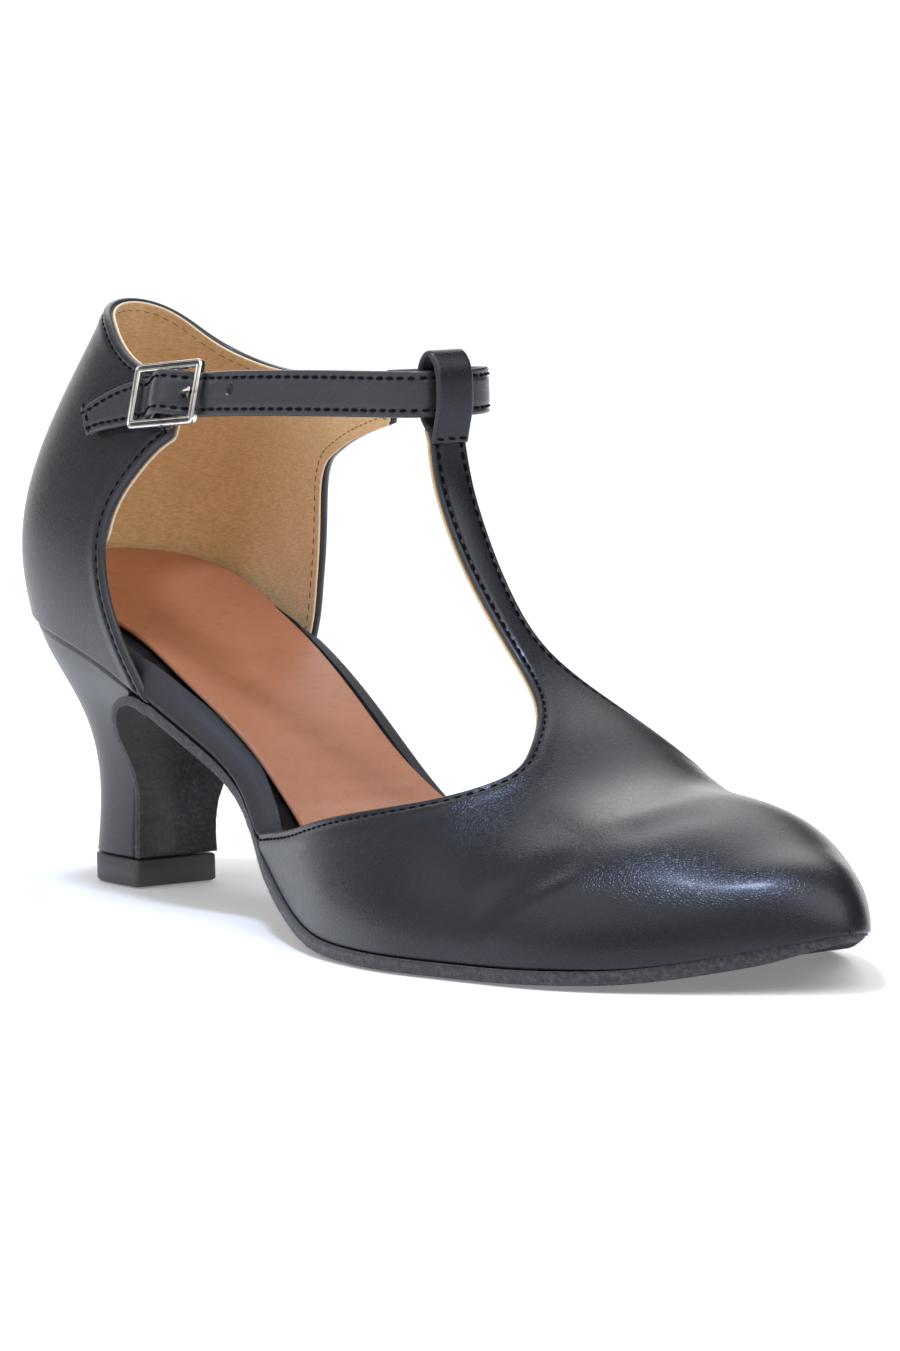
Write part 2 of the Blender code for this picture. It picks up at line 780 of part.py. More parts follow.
def tube(points, side, radius, ring=10, closed=False):
    """Vertices and faces of a round bar along a flat path; side is the path plane's normal."""
    points = np.asarray(points, float)
    count = len(points)
    if closed:
        along = np.roll(points, -1, axis=0) - np.roll(points, 1, axis=0)
    else:
        along = np.gradient(points, axis=0)
    along /= np.linalg.norm(along, axis=1, keepdims=True)
    second = np.cross(along, side)
    angles = np.arange(ring) * 2 * np.pi / ring
    round_part = np.cos(angles)[None, :, None] * side + np.sin(angles)[None, :, None] * second[:, None, :]
    vertices = (points[:, None, :] + radius * round_part).reshape(-1, 3)
    faces = []
    for row in range(count if closed else count - 1):
        above = (row + 1) % count
        for k in range(ring):
            nxt = (k + 1) % ring
            faces.append([row * ring + k, row * ring + nxt, above * ring + nxt, above * ring + k])
    if not closed:
        faces.append(list(range(ring)))
        faces.append(list(range((count - 1) * ring, count * ring)))
    return vertices, faces


def rounded_rectangle():
    """Corner-rounded path of the buckle's frame, along and across the strap."""
    turns = np.linspace(0, np.pi / 2, 5)
    reach = FRAME_REACH - FRAME_CORNER
    height = FRAME_HALF_HEIGHT - FRAME_CORNER
    path_points = []
    for quarter_turn, (sign_along, sign_across) in enumerate(((1, 1), (-1, 1), (-1, -1), (1, -1))):
        for turn in turns + quarter_turn * np.pi / 2:
            along = FRAME_SHIFT + sign_along * reach + FRAME_CORNER * np.cos(turn)
            across_strap = sign_across * height + FRAME_CORNER * np.sin(turn)
            path_points.append(buckle_place(along, across_strap, FRAME_OUT))
    return path_points


def build_buckle(steel, leather):
    _, direction, outward, upward = strap_frame(buckle_share())
    bars = tube(rounded_rectangle(), outward, FRAME_RADIUS, closed=True)
    frame = add_object("buckle_frame", *bars, steel, closed=True)
    ends = [buckle_place(0.0, reach, CENTRE_BAR_OUT) for reach in (-FRAME_HALF_HEIGHT, FRAME_HALF_HEIGHT)]
    bar = add_object("centre_bar", *tube(ends, direction, CENTRE_BAR_RADIUS), steel, True)
    bar.hide_render = True
    bar.display_type = "WIRE"
    join = frame.modifiers.new("centre_bar", "BOOLEAN")
    join.operation = "UNION"
    join.solver = "EXACT"
    join.object = bar
    turns = np.radians(np.linspace(110, -170, 17))
    ring = [(PRONG_RING * np.cos(turn), CENTRE_BAR_OUT + PRONG_RING * np.sin(turn)) for turn in turns]
    start = np.array([-PRONG_RING - 0.5, CENTRE_BAR_OUT + 0.15])
    arm = start + (np.array(PRONG_TIP) - start) * np.linspace(0, 1, 8)[:, None]
    prong = [buckle_place(along, 0.0, out) for along, out in [*ring, *arm]]
    add_object("buckle_prong", *tube(prong, upward, PRONG_RADIUS, ring=8), steel, True)
    build_stay(leather)


def build_stay(leather):
    """Folded strip from the quarter's tab round the centre bar and back."""
    turns = np.radians(np.linspace(60, 300, 13))
    ring = [(STAY_RING * np.cos(turn), CENTRE_BAR_OUT + STAY_RING * np.sin(turn)) for turn in turns]
    upper = list(zip(STAY_TAILS["along"], STAY_TAILS["upper"]))
    lower = list(zip(STAY_TAILS["along"], STAY_TAILS["lower"]))[::-1]
    rows = []
    for along, out in [*upper, *ring, *lower]:
        rows.append([buckle_place(along, step * STAY_WIDTH, out) for step in (-0.5, 0.0, 0.5)])
    stay = add_wall("buckle_stay", [np.array(rows)], STAY_PLY, leather)
    cut_box(stay, "stay_slot", STAY_SLOT, 2 * (PRONG_RADIUS + GAP))


def main():
    for old in list(bpy.data.objects):
        bpy.data.objects.remove(old)
    black = material("black_leather", (0.012, 0.012, 0.015), 0.38)
    suede = material("charcoal_suede", (0.03, 0.03, 0.033), 0.95)
    rubber = material("black_rubber", (0.012, 0.012, 0.013), 0.5)
    tan = material("tan_leather", (0.32, 0.12, 0.055), 0.5)
    steel = material("polished_steel", (0.7, 0.68, 0.62), 0.2, 1.0)
    build_heel(black, rubber)
    build_outsole(suede)
    build_insole(black, tan)
    add_wall("vamp", vamp_grids(), VAMP_WALL, black)
    build_quarter(black)
    build_strap(black)
    build_buckle(steel, black)


main()
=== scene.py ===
"""Looks of a right-foot T-strap dance shoe: black smooth leather, beige lining, tan sock, suede sole.

The maths is in millimetres in the last's own axes, as in the part's source: x from the back of the heel
seat to the toe, y towards the medial side, z up from the floor. Finished meshes are in metres.
"""

import bpy
import numpy as np
from mathutils import Matrix, Vector, noise
from mathutils.bvhtree import BVHTree
from mathutils.kdtree import KDTree


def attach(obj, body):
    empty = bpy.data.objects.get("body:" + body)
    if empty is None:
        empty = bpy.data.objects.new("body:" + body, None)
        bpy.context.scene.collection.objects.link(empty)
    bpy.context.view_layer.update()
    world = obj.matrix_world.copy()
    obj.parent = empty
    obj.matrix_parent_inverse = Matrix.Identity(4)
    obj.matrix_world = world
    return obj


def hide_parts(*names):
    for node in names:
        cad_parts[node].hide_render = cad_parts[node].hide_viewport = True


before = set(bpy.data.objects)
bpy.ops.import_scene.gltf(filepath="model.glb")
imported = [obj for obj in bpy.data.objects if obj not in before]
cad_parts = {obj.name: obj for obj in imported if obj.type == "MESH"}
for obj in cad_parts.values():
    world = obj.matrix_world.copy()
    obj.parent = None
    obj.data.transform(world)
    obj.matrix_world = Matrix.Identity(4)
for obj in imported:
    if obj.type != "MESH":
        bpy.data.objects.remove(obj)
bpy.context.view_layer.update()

MM = 0.001
ORIGIN = np.array([121.4, -5.8, 0.0])
SIDES = {"lateral": -1, "medial": 1}

# Sizes of the last, the sole, the insole, the straps and the loop
LENGTH = 244.0
GAP = 0.3
FEATHER_LAP = 0.05
SOLE_THICKNESS = 2.35
SOLE_EXTENSION = 0.8
SOLE_TOE_THINNING = {"lateral": -0.3, "medial": 1.9}
SOLE_TOE_TRIM = 1.9
SOLE_TIP = {"lateral": (234.0, 244.0), "medial": (241.0, 244.0)}
SOLE_TIP_THINNING = 0.6
SOLE_RAGGED = 0.14
RAGGED_LUMP = 1.3
MEDIAL_SPRING = 1.5
SPRING_RISE = (200.0, 222.0)
SPRING_FALL = (232.0, 244.0)
FOREPART = (96.0, 112.0)
TOE = (200.0, 238.0)
TOP_PIECE_HEIGHT = 5.2
TOP_PIECE_FRONT = (30.0, 34.0)
INSOLE_RISE = 5.6
INSOLE_LIFT = 0.1
INSOLE_INSET = 2.9
HEEL_PAD_RISE = 3.0
HEEL_PAD = (8.0, 45.0)
SOCK_LIFT = 1.5
SOCK_UNEVEN = 0.06
SOCK_LUMP = 5.0
WAIST_BEHIND = {"lateral": 56.0, "medial": 47.0}
WAIST_FRONT = 101.0
WAIST_EASE = 5.0
PLATE_ARCS = (0.12, 0.3)
STRAP_WIDTH = 8.4
STRAP_TIP_WIDTH = 6.2
STRAP_TAPER_START = 0.88
TIP_SLANT = 2.0
TIP_SLANT_START = 0.92
STRAP_THICKNESS = 1.8
BACKING_NARROWER = 0.9
STRAP_LATERAL_START = 0.4
STRAP_STEP = 0.002
LOOP_WIDTH = 7.8
LOOP_CENTRE = 1.6
LOOP_RELIEF = 0.1
LOOP_STITCH_RISE = 1.2
LOOP_STITCH_SPAN = 4.8
UNDER_LOOP = (-1.1, 0.0, 3.2)

# Leathers, their folded edges and their stitches
VAMP_LEATHER = 1.15
LOOP_LEATHER = 1.25
QUARTER_LEATHER = 1.45
STRAP_LEATHER = 1.2
SOCK_LEATHER = 1.0
LINING = 0.5
LINING_STEP = 0.05
LINING_PROUD = (0.18, 0.36)
LINING_TOE = 0.75
LINING_TRIM = 3.2
TRIM_END = (0.36, 0.47)
FOLD_SWELL = 0.2
FOLD_WIDTH = (2.4, 5.2)
FOLD_FADE = (36.0, 56.0)
VAMP_STITCH_INSET = 1.35
QUARTER_STITCH_INSET = 1.75
STRAP_STITCH_INSET = 1.3
LINING_STITCH_INSET = 1.8
GROOVE_DEPTH = 0.34
GROOVE_HALF = 0.42
STITCH_SINK = -0.3
STITCH_PITCH = 2.15
STITCH_LENGTH = 1.5
STITCH_RADIUS = 0.23
STITCH_TOP = 1.1
STITCH_DIP = 1.6
STITCH_BLUNT = 1.02
STITCH_TILT = 0.06
STITCH_SHRINK = 0.08
LINING_STITCH_RADIUS = 0.1
THROAT_SEWN_START = 0.15
FRONT_SEWN = (0.03, 0.97)
STRAP_SEWN = slice(4, -4)
BACK_SEAM_HALF = 0.8
BACK_SEAM_FRONT = 30.0
BACK_SEAM_DEPTH = 0.22
RELIEF_FADE = 0.8

# Fibres that stand out of the suede's edge
FUZZ_SHARES = (0.2, 0.5, 0.85)
FUZZ_PITCH = 0.45
FUZZ_TILT = 1.1
FUZZ_SHRINK = 0.7
FUZZ_SEED = 5
FIBRE_LENGTH = 0.75
FIBRE_ROOT = 0.1
FIBRE_BEND = 0.25
FIBRE_RADIUS = 0.045
FIBRE_BLUNT = 1.05
FLAP_FUZZ_FORWARD = 0.3

# Points along and across the meshes and the sewn lines
WELD_GRAIN = 0.002
EDGE_SAMPLES = 9
FOREPART_ROWS = 84
WING_ROWS = 70
WING_COLUMNS = 40
T_STRAP_ROWS = 110
T_STRAP_HALF_COLUMNS = 18
TUCK_ROWS = 7
PROUD_EASE_ROWS = 8
LINING_FINENESS = 0.6
THROAT_SEARCH = 400
THROAT_LINE_POINTS = 260
LOOP_GRID = (90, 24)
LOOP_LINE_POINTS = 12
QUARTER_GRID = (110, 190)
QUARTER_LINING_GRID = (70, 130)
FRONT_PASSES = 14
FRONT_LINE_POINTS = 160
TOP_LINE_POINTS = 200
STRAP_ROWS = 460
STRAP_COLUMNS = 26
BACKING_COLUMNS = 10
HOLE_SIDES = 24
FRAME_TURNS = 6
BAR_POINTS = 5
RING_POINTS = 25
PRONG_ARM_POINTS = 14
STAY_COLUMNS = 14
FLAP_ROWS = 48
HEEL_RINGS = 46
HEEL_CROWDING = 1.5
HEEL_SIDE_POINTS = 30
BREAST_PASSES = 20
CORNER_POINTS = 6
CORNER_ROOM = 4
SOLE_COLUMNS = 170
INSOLE_COLUMNS = 150
INSOLE_LEVELS = 14
SOCK_GRID = (200, 60)
BAR_SIDES = 16
STITCH_POINTS = 7
STITCH_SIDES = 6
FIBRE_POINTS = 4
FIBRE_SIDES = 3


def table(names, rows):
    """Rows of numbers as named columns."""
    return dict(zip(names.split(), np.array(rows, float).T))


# The last's bottom: its two edges and the height of the feather line at each station
PLAN = table(
    "station lateral medial seat",
    [
        (0.0, 0.0, 0.0, 53.0),
        (5.0, -12.8, 12.6, 52.4),
        (14.0, -19.8, 19.6, 51.0),
        (28.0, -23.4, 23.2, 48.4),
        (45.0, -24.6, 23.0, 44.2),
        (60.0, -25.0, 21.0, 38.8),
        (75.0, -23.8, 18.6, 32.0),
        (88.0, -22.8, 17.0, 24.6),
        (100.0, -26.4, 16.6, 17.0),
        (112.0, -30.6, 17.8, 10.6),
        (125.0, -35.2, 21.0, 6.0),
        (138.0, -39.4, 25.0, 3.4),
        (152.0, -42.2, 28.6, 2.6),
        (166.0, -43.0, 31.0, 2.5),
        (182.0, -40.8, 31.2, 2.5),
        (198.0, -37.8, 28.6, 2.7),
        (208.0, -34.6, 25.2, 3.1),
        (217.0, -29.8, 20.8, 3.7),
        (226.0, -23.2, 15.4, 5.1),
        (234.0, -15.8, 10.2, 6.9),
        (239.5, -9.8, 6.2, 8.3),
        (242.5, -5.6, 3.2, 9.2),
        (244.0, -1.4, -1.4, 9.7),
    ],
)

# The vamp's girths: the feather station each starts from, its ridge point, and how full it is
GIRTHS = table(
    "feather ridge_x ridge_y ridge_z wall crown lean",
    [
        (94.0, 125.0, 2.0, 88.0, 0.60, 0.55, 0.04),
        (102.0, 125.9, 2.0, 80.0, 0.60, 0.55, 0.05),
        (110.0, 129.2, 2.0, 72.0, 0.60, 0.55, 0.06),
        (122.0, 136.4, 2.0, 61.5, 0.60, 0.56, 0.08),
        (134.0, 145.6, 2.0, 52.0, 0.60, 0.58, 0.10),
        (146.0, 156.2, 2.0, 44.6, 0.60, 0.60, 0.12),
        (160.0, 168.6, 1.8, 38.2, 0.60, 0.58, 0.13),
        (176.0, 182.0, 1.4, 31.8, 0.60, 0.55, 0.14),
        (194.0, 197.2, 1.0, 29.6, 0.60, 0.55, 0.15),
        (210.0, 211.6, 0.4, 27.6, 0.60, 0.56, 0.16),
        (224.0, 224.6, -0.2, 23.3, 0.60, 0.57, 0.16),
        (235.0, 234.6, -0.8, 20.4, 0.58, 0.57, 0.14),
        (241.0, 240.8, -1.2, 16.0, 0.55, 0.55, 0.10),
        (244.0, 244.0, -1.4, 10.2, 0.55, 0.55, 0.0),
    ],
)

# The vamp's cut edge on each side, from the waist round the throat and up the T-strap
THROAT = table(
    "lateral_girth lateral_share medial_girth medial_share",
    [
        (102.0, 0.015, 102.0, 0.015),
        (112.5, 0.085, 113.0, 0.09),
        (123.8, 0.167, 125.0, 0.175),
        (138.3, 0.293, 139.5, 0.30),
        (151.8, 0.42, 153.0, 0.43),
        (160.5, 0.543, 160.0, 0.53),
        (163.6, 0.68, 161.8, 0.60),
        (159.0, 0.79, 159.0, 0.68),
        (148.5, 0.905, 149.5, 0.78),
        (135.0, 0.952, 135.0, 0.89),
        (120.0, 0.938, 120.0, 0.886),
        (106.0, 0.912, 106.0, 0.855),
        (94.0, 0.884, 94.0, 0.886),
    ],
)

# The band sewn on the T-strap's top: up in front of the ankle strap, over it and down behind
LOOP = table(
    "x z",
    [
        (125.35, 86.8),
        (126.15, 89.4),
        (127.2, 93.0),
        (127.5, 97.2),
        (126.7, 101.6),
        (123.8, 103.8),
        (121.0, 101.6),
        (120.2, 97.0),
        (120.4, 93.0),
        (121.6, 90.6),
        (123.2, 88.9),
    ],
)

# The heel cup at heights above the seat: how far its back leans in and how wide it is
CUP = table(
    "rise back width sway",
    [
        (0.0, 0.0, 1.0, 0.0),
        (8.0, -1.2, 1.05, 0.0),
        (18.0, -0.6, 1.06, 0.0),
        (30.0, 4.0, 1.01, 0.3),
        (44.0, 12.4, 0.87, 0.8),
        (58.0, 21.6, 0.70, 1.5),
        (64.0, 25.4, 0.63, 1.8),
    ],
)
CUP_PIVOT = 75.0
SEAT_FRONT = 62.0

# The cup's top line by seat station, negative on the lateral side
TOPLINE = table(
    "station height",
    [
        (-90.0, 98.6),
        (-66.0, 98.6),
        (-52.0, 98.9),
        (-41.0, 100.2),
        (-30.0, 103.4),
        (-19.0, 107.6),
        (-8.0, 110.6),
        (0.0, 111.3),
        (5.5, 107.2),
        (12.0, 103.2),
        (22.0, 99.8),
        (34.0, 97.9),
        (52.0, 97.3),
        (75.0, 97.9),
        (110.0, 98.6),
    ],
)

# The cup's front edges by share of its height, and where the tab and the tongue cut them
FRONTS = table(
    "share lateral medial",
    [
        (0.0, 63.0, 46.8),
        (0.05, 60.6, 47.3),
        (0.11, 57.4, 47.9),
        (0.19, 54.0, 48.5),
        (0.26, 51.7, 49.1),
        (0.34, 50.0, 50.1),
        (0.425, 49.2, 51.1),
        (0.51, 50.0, 52.2),
        (0.595, 52.2, 53.8),
        (0.675, 55.5, 57.0),
        (0.745, 59.0, 64.0),
        (0.80, 63.0, 76.0),
        (0.85, 69.0, 92.0),
        (1.0, 97.0, 150.0),
    ],
)
FRONT_ENDS = {"lateral": 64.0, "medial": 90.0}

# The heel block by share of its height: its back and its two sides
HEEL = table(
    "share back lateral medial",
    [
        (0.0, 10.8, -10.4, 7.6),
        (0.14, 12.4, -10.7, 7.0),
        (0.30, 13.6, -11.4, 6.9),
        (0.46, 13.3, -12.8, 8.6),
        (0.62, 10.8, -15.2, 12.2),
        (0.78, 6.2, -19.0, 17.0),
        (0.90, 2.8, -22.2, 20.8),
        (1.0, 0.4, -24.4, 22.8),
    ],
)
HEEL_FRONT = 54.5
HEEL_CORNER = 1.1
HEEL_ROUND = 0.45
HEEL_SEAM = 0.6
HEEL_SEAM_SHARES = (0.97, 1.0)
HEEL_FOOT_ROUND = 0.35
BREAST_GAP = 0.08
FLAP_THICKNESS = 1.4
FLAP_TURN = {"lateral": 0.75, "medial": 0.32}
FLAP_THINNING = 0.32
TOP_PIECE_PROUD = 0.35
TOP_PIECE_EDGE = table(
    "height draw",
    [
        (0.0, 0.96),
        (0.35, 1.0),
        (TOP_PIECE_HEIGHT - 0.3, 1.0),
        (TOP_PIECE_HEIGHT, 0.97),
    ],
)

# The insole's wrapped edge by share of its height: its inset at the open waist, and its draw elsewhere
INSOLE_EDGE = table(
    "share open_inset draw",
    [
        (0.0, 0.9, 0.0),
        (0.22, 0.0, 0.0),
        (0.55, 0.6, 0.0),
        (0.85, 2.4, 0.3),
        (1.0, 4.6, 0.9),
    ],
)

# The sock's inset from the last's two edges: drawn in at the shank, out to the lateral edge at the waist
SOCK_EDGE = table(
    "station lateral medial",
    [
        (0.0, 4.1, 4.1),
        (22.0, 4.1, 4.1),
        (34.0, 4.7, 4.6),
        (44.0, 5.8, 6.0),
        (55.0, 6.1, 6.4),
        (66.0, 5.2, 6.4),
        (78.0, 4.0, 6.4),
        (85.0, 3.7, 6.4),
        (92.0, 4.6, 6.2),
        (100.0, 6.4, 5.4),
        (108.0, 7.2, 4.7),
        (122.0, 5.6, 4.2),
        (140.0, 4.4, 4.2),
        (165.0, 4.2, 4.2),
        (200.0, 4.2, 4.2),
        (244.0, 4.2, 4.2),
    ],
)

# The under face of the sole where it leaves the waist and turns down the breast
BREAST = table(
    "x z",
    [
        (62.0, 35.2),
        (56.0, 37.0),
        (50.5, 36.2),
        (45.8, 32.4),
        (41.8, 27.0),
        (38.6, 21.0),
        (36.2, 14.5),
        (34.8, 8.5),
        (34.4, 5.6),
    ],
)

# The sole's edge by share of its thickness: how far it draws in
SOLE_EDGE = table("share inset", [(0.0, 0.35), (0.12, 0.08), (0.4, 0.0), (0.75, 0.02), (1.0, 0.25)])

# The ankle strap's middle line from the tongue round the front to its tip, and how its top leans in
STRAP = table(
    "x y z lean",
    [
        (90.1, 12.2, 94.6, 0.17),
        (103.0, 14.4, 95.2, 0.12),
        (113.2, 15.2, 95.7, 0.06),
        (120.9, 12.1, 96.0, 0.0),
        (123.9, 6.9, 96.0, 0.0),
        (123.7, 2.0, 96.0, 0.0),
        (123.2, -2.5, 96.0, 0.0),
        (118.2, -6.2, 96.0, 0.0),
        (108.0, -9.4, 96.0, 0.02),
        (94.2, -13.8, 95.9, 0.10),
        (79.5, -17.3, 95.5, 0.20),
        (66.6, -18.7, 94.7, 0.30),
        (55.1, -20.0, 93.4, 0.33),
        (45.6, -21.4, 91.3, 0.32),
        (38.0, -22.3, 88.7, 0.31),
    ],
)

# Buckle sizes along, across and out from the strap's middle at the centre bar
BUCKLE_X = 66.0
FRAME_REACH = 9.25
FRAME_SHIFT = 0.8
FRAME_HALF_HEIGHT = 5.35
FRAME_CORNER = 0.5
FRAME_OUT = 2.15
CENTRE_BAR_OUT = 1.45
CENTRE_BAR_RADIUS = 0.5
STRAP_BULGE = 4.0
PRONG_RADIUS = 0.58
PRONG_RING = 1.05
PRONG_TURN = (110, -170)
PRONG_ROOT = (-0.5, 0.15)
PRONG_TIP = (-9.0, 4.1)
PRONG_TAPER = 0.45
PRONG_TAPER_ROWS = (5, 0.5)
STAY_PLY = 0.6
STAY_EDGES = (-6.4, 3.0)
STAY_RING = 1.25
STAY_TURN = (60, 300)
STAY_TAILS = table("along upper lower", [(4.6, -1.45, -3.15), (3.0, 0.1, -1.9), (1.55, 1.85, -0.55)])
FRAME_BEVEL = 0.08
GROOVE_WALL = 0.22
FRAME_PROFILE = table(
    "inward out",
    [
        (-0.75, -0.6),
        (-0.8, 0.3),
        (-0.62, 0.6),
        (-0.34, 0.64),
        (-0.2, 0.26),
        (0.12, 0.26),
        (0.26, 0.64),
        (0.62, 0.6),
        (0.8, 0.3),
        (0.75, -0.6),
    ],
)

# The strap's holes: pits in the leather that stop short of its inner face, and openings in the backing
HOLE_PIN = 2.5
HOLE_DEPTH = 0.18
STRAP_HOLES = table("along rise radius", [(-16.0, 0.7, 1.15), (-5.3, 0.0, 0.95), (6.6, 0.5, 0.8)])

# Soft creases of the worn-in vamp: a line, its half width and how far it sinks
CREASES = table(
    "x0 y0 z0 x1 y1 z1 half sink",
    [
        (194.5, -38.0, 10.0, 205.0, -31.0, 17.0, 3.4, -0.45),
        (192.0, -36.5, 14.0, 199.0, -31.0, 19.5, 4.0, 0.6),
        (201.0, -13.5, 27.3, 202.0, -3.0, 29.0, 3.6, -0.25),
        (206.5, -17.0, 25.4, 210.0, -7.0, 27.4, 4.2, 0.3),
    ],
)

# Folds of the lining at the back of the cup and of the sock at the waist
LINING_FOLDS = table(
    "x0 y0 z0 x1 y1 z1 half sink",
    [
        (20.0, 4.0, 106.0, 15.0, 7.0, 92.0, 1.6, -0.45),
        (19.0, 1.0, 106.0, 12.0, 2.0, 90.0, 1.4, 0.4),
    ],
)
SOCK_FOLDS = table(
    "x0 y0 z0 x1 y1 z1 half sink",
    [
        (92.0, -16.0, 29.0, 96.0, 9.0, 28.0, 1.6, 0.22),
        (97.0, -18.0, 26.0, 100.0, 8.0, 25.0, 1.4, 0.2),
        (86.0, -14.0, 33.0, 88.0, 4.0, 32.0, 1.8, 0.16),
        (103.0, -18.0, 22.0, 105.0, 10.0, 22.0, 1.5, 0.22),
    ],
)

# The photograph's camera about a point of the shoe: degrees, millimetres, pixels of a 900 by 1351 image
CAMERA_TARGET = np.array([127.3, -1.2, 45.6])
CAMERA_AZIMUTH = 55.7
CAMERA_ELEVATION = 5.25
CAMERA_ROLL = -1.4
CAMERA_DISTANCE = 1281.0
CAMERA_FOCAL_PIXELS = 7150.0
IMAGE_HEIGHT = 1351
SENSOR = 36.0

# The pale floor, in millimetres
FLOOR_RADIUS = 60000.0
FLOOR_DROP = 0.3
FLOOR_SIDES = 96
FLOOR_GLOW = 0.2
FLOOR_TONES = ((0.86, 0.86, 0.865), (0.88, 0.88, 0.885))

# A small cool soft box over the shoe, in metres and watts
OVERHEAD_PLACE = (-0.03, -0.25, 1.4)
OVERHEAD_TARGET = (0.0, 0.0, 0.04)
OVERHEAD_SIZE = (0.16, 0.16)
OVERHEAD_WATTS = 10.0
OVERHEAD_COLOUR = (0.62, 0.73, 1.0)

# The room's bright parts: the way to each, how wide it is from faint edge to core, and how bright
ROOM_GLOW = 0.03
ROOM_LIGHTS = table(
    "x y z edge core glow",
    [
        (0.82, -0.56, 0.1, 0.6, 0.95, 0.42),
        (0.58, 0.09, 0.81, 0.75, 0.97, 2.6),
        (-0.55, -0.75, 0.35, 0.6, 0.95, 0.3),
        (-0.15, -0.7, 0.7, 0.84, 0.97, 1.15),
        (-0.64, 0.4, 0.655, 0.89, 0.985, 1.75),
        (-0.826, 0.563, 0.0, 0.97, 0.995, 1.2),
        (-0.57, 0.81, -0.09, 0.94, 0.985, 1.8),
        (-0.93, 0.28, 0.22, 0.87, 0.97, 1.1),
        (-0.45, -0.88, 0.1, 0.9, 0.99, 0.35),
    ],
)


def spline(knots, values):
    """Natural cubic spline through a column, as a function of the knots' axis."""
    knots = np.asarray(knots, float)
    values = np.asarray(values, float)
    step = np.diff(knots)
    count = len(knots)
    system = np.eye(count)
    right = np.zeros(count)
    for i in range(1, count - 1):
        system[i, i - 1 : i + 2] = step[i - 1], 2 * (step[i - 1] + step[i]), step[i]
        slopes = np.diff(values[i - 1 : i + 2]) / step[i - 1 : i + 1]
        right[i] = 6 * (slopes[1] - slopes[0])
    bend = np.linalg.solve(system, right)

    def at(where):
        where = np.asarray(where, float)
        i = np.clip(np.searchsorted(knots, where) - 1, 0, count - 2)
        a = (knots[i + 1] - where) / step[i]
        b = 1 - a
        curved = (a**3 - a) * bend[i] + (b**3 - b) * bend[i + 1]
        return a * values[i] + b * values[i + 1] + curved * step[i] ** 2 / 6

    return at


def arc(station):
    """Angle that spaces stations closely at heel and toe, so that outlines close round."""
    return np.arccos(np.clip(1 - 2 * np.asarray(station, float) / LENGTH, -1, 1))


def station_at(angle):
    return LENGTH * (1 - np.cos(angle)) / 2


def smooth(low, high, value):
    """0 below low, 1 above high, with soft ends."""
    share = np.clip((np.asarray(value, float) - low) / (high - low), 0, 1)
    return share * share * (3 - 2 * share)


def spaced(count):
    """Shares from 0 to 1 that crowd towards both ends."""
    return (1 - np.cos(np.linspace(0, np.pi, count))) / 2


def path(columns):
    """Smooth curve through rows, as a function of a share of its chord length."""
    points = np.stack(columns, 1)
    length = np.concatenate([[0], np.cumsum(np.linalg.norm(np.diff(points[:, :3], axis=0), axis=1))])
    parts = [spline(length / length[-1], column) for column in columns]
    return lambda share: np.stack([part(share) for part in parts], -1)


def unit(vectors):
    return vectors / np.maximum(np.linalg.norm(vectors, axis=-1, keepdims=True), 1e-12)


edge_by_arc = {name: spline(arc(PLAN["station"]), PLAN[name]) for name in SIDES}
seat = spline(PLAN["station"], PLAN["seat"])
girth = {name: spline(arc(GIRTHS["feather"]), GIRTHS[name]) for name in GIRTHS if name != "feather"}
cup = {name: spline(CUP["rise"], CUP[name]) for name in ("back", "width", "sway")}
topline = spline(np.sign(TOPLINE["station"]) * arc(abs(TOPLINE["station"])), TOPLINE["height"])
fronts = {name: spline(FRONTS["share"], FRONTS[name]) for name in SIDES}
heel = {name: spline(HEEL["share"], HEEL[name]) for name in ("back", "lateral", "medial")}
strap_course = path([STRAP[name] for name in ("x", "y", "z", "lean")])


def edge_at(x, side):
    """Feather line of one side, -1 lateral or 1 medial."""
    return np.where(np.asarray(side) < 0, edge_by_arc["lateral"](arc(x)), edge_by_arc["medial"](arc(x)))


def feather_height(x, side):
    """Height of the feather line, sprung up a little more on the medial side of the toe."""
    spring = MEDIAL_SPRING * smooth(*SPRING_RISE, x) * (1 - smooth(*SPRING_FALL, x))
    return seat(x) + np.where(np.asarray(side) < 0, 0.0, spring)


def outline(inset, angles, side):
    """Plan points of one side of the last's bottom, drawn in by a distance that may vary."""
    x = station_at(angles)
    points = np.stack([x, edge_at(x, side)], 1)
    along = unit(np.gradient(points, axis=0))
    inward = -side * np.stack([-along[:, 1], along[:, 0]], 1)
    return points + inward * np.broadcast_to(inset, x.shape)[:, None]


# Node trees


class Field:
    """A value over a surface; sums and products of fields add the nodes that work them out."""

    def __init__(self, graph, socket):
        self.graph = graph
        self.socket = socket

    def maths(self, operation, *values):
        return self.graph.node("ShaderNodeMath", {"operation": operation}, dict(enumerate(values)))

    def __add__(self, other):
        return self.maths("ADD", self, other)

    def __rsub__(self, other):
        return self.maths("SUBTRACT", other, self)

    def __mul__(self, other):
        return self.maths("MULTIPLY", self, other)

    __radd__ = __add__
    __rmul__ = __mul__


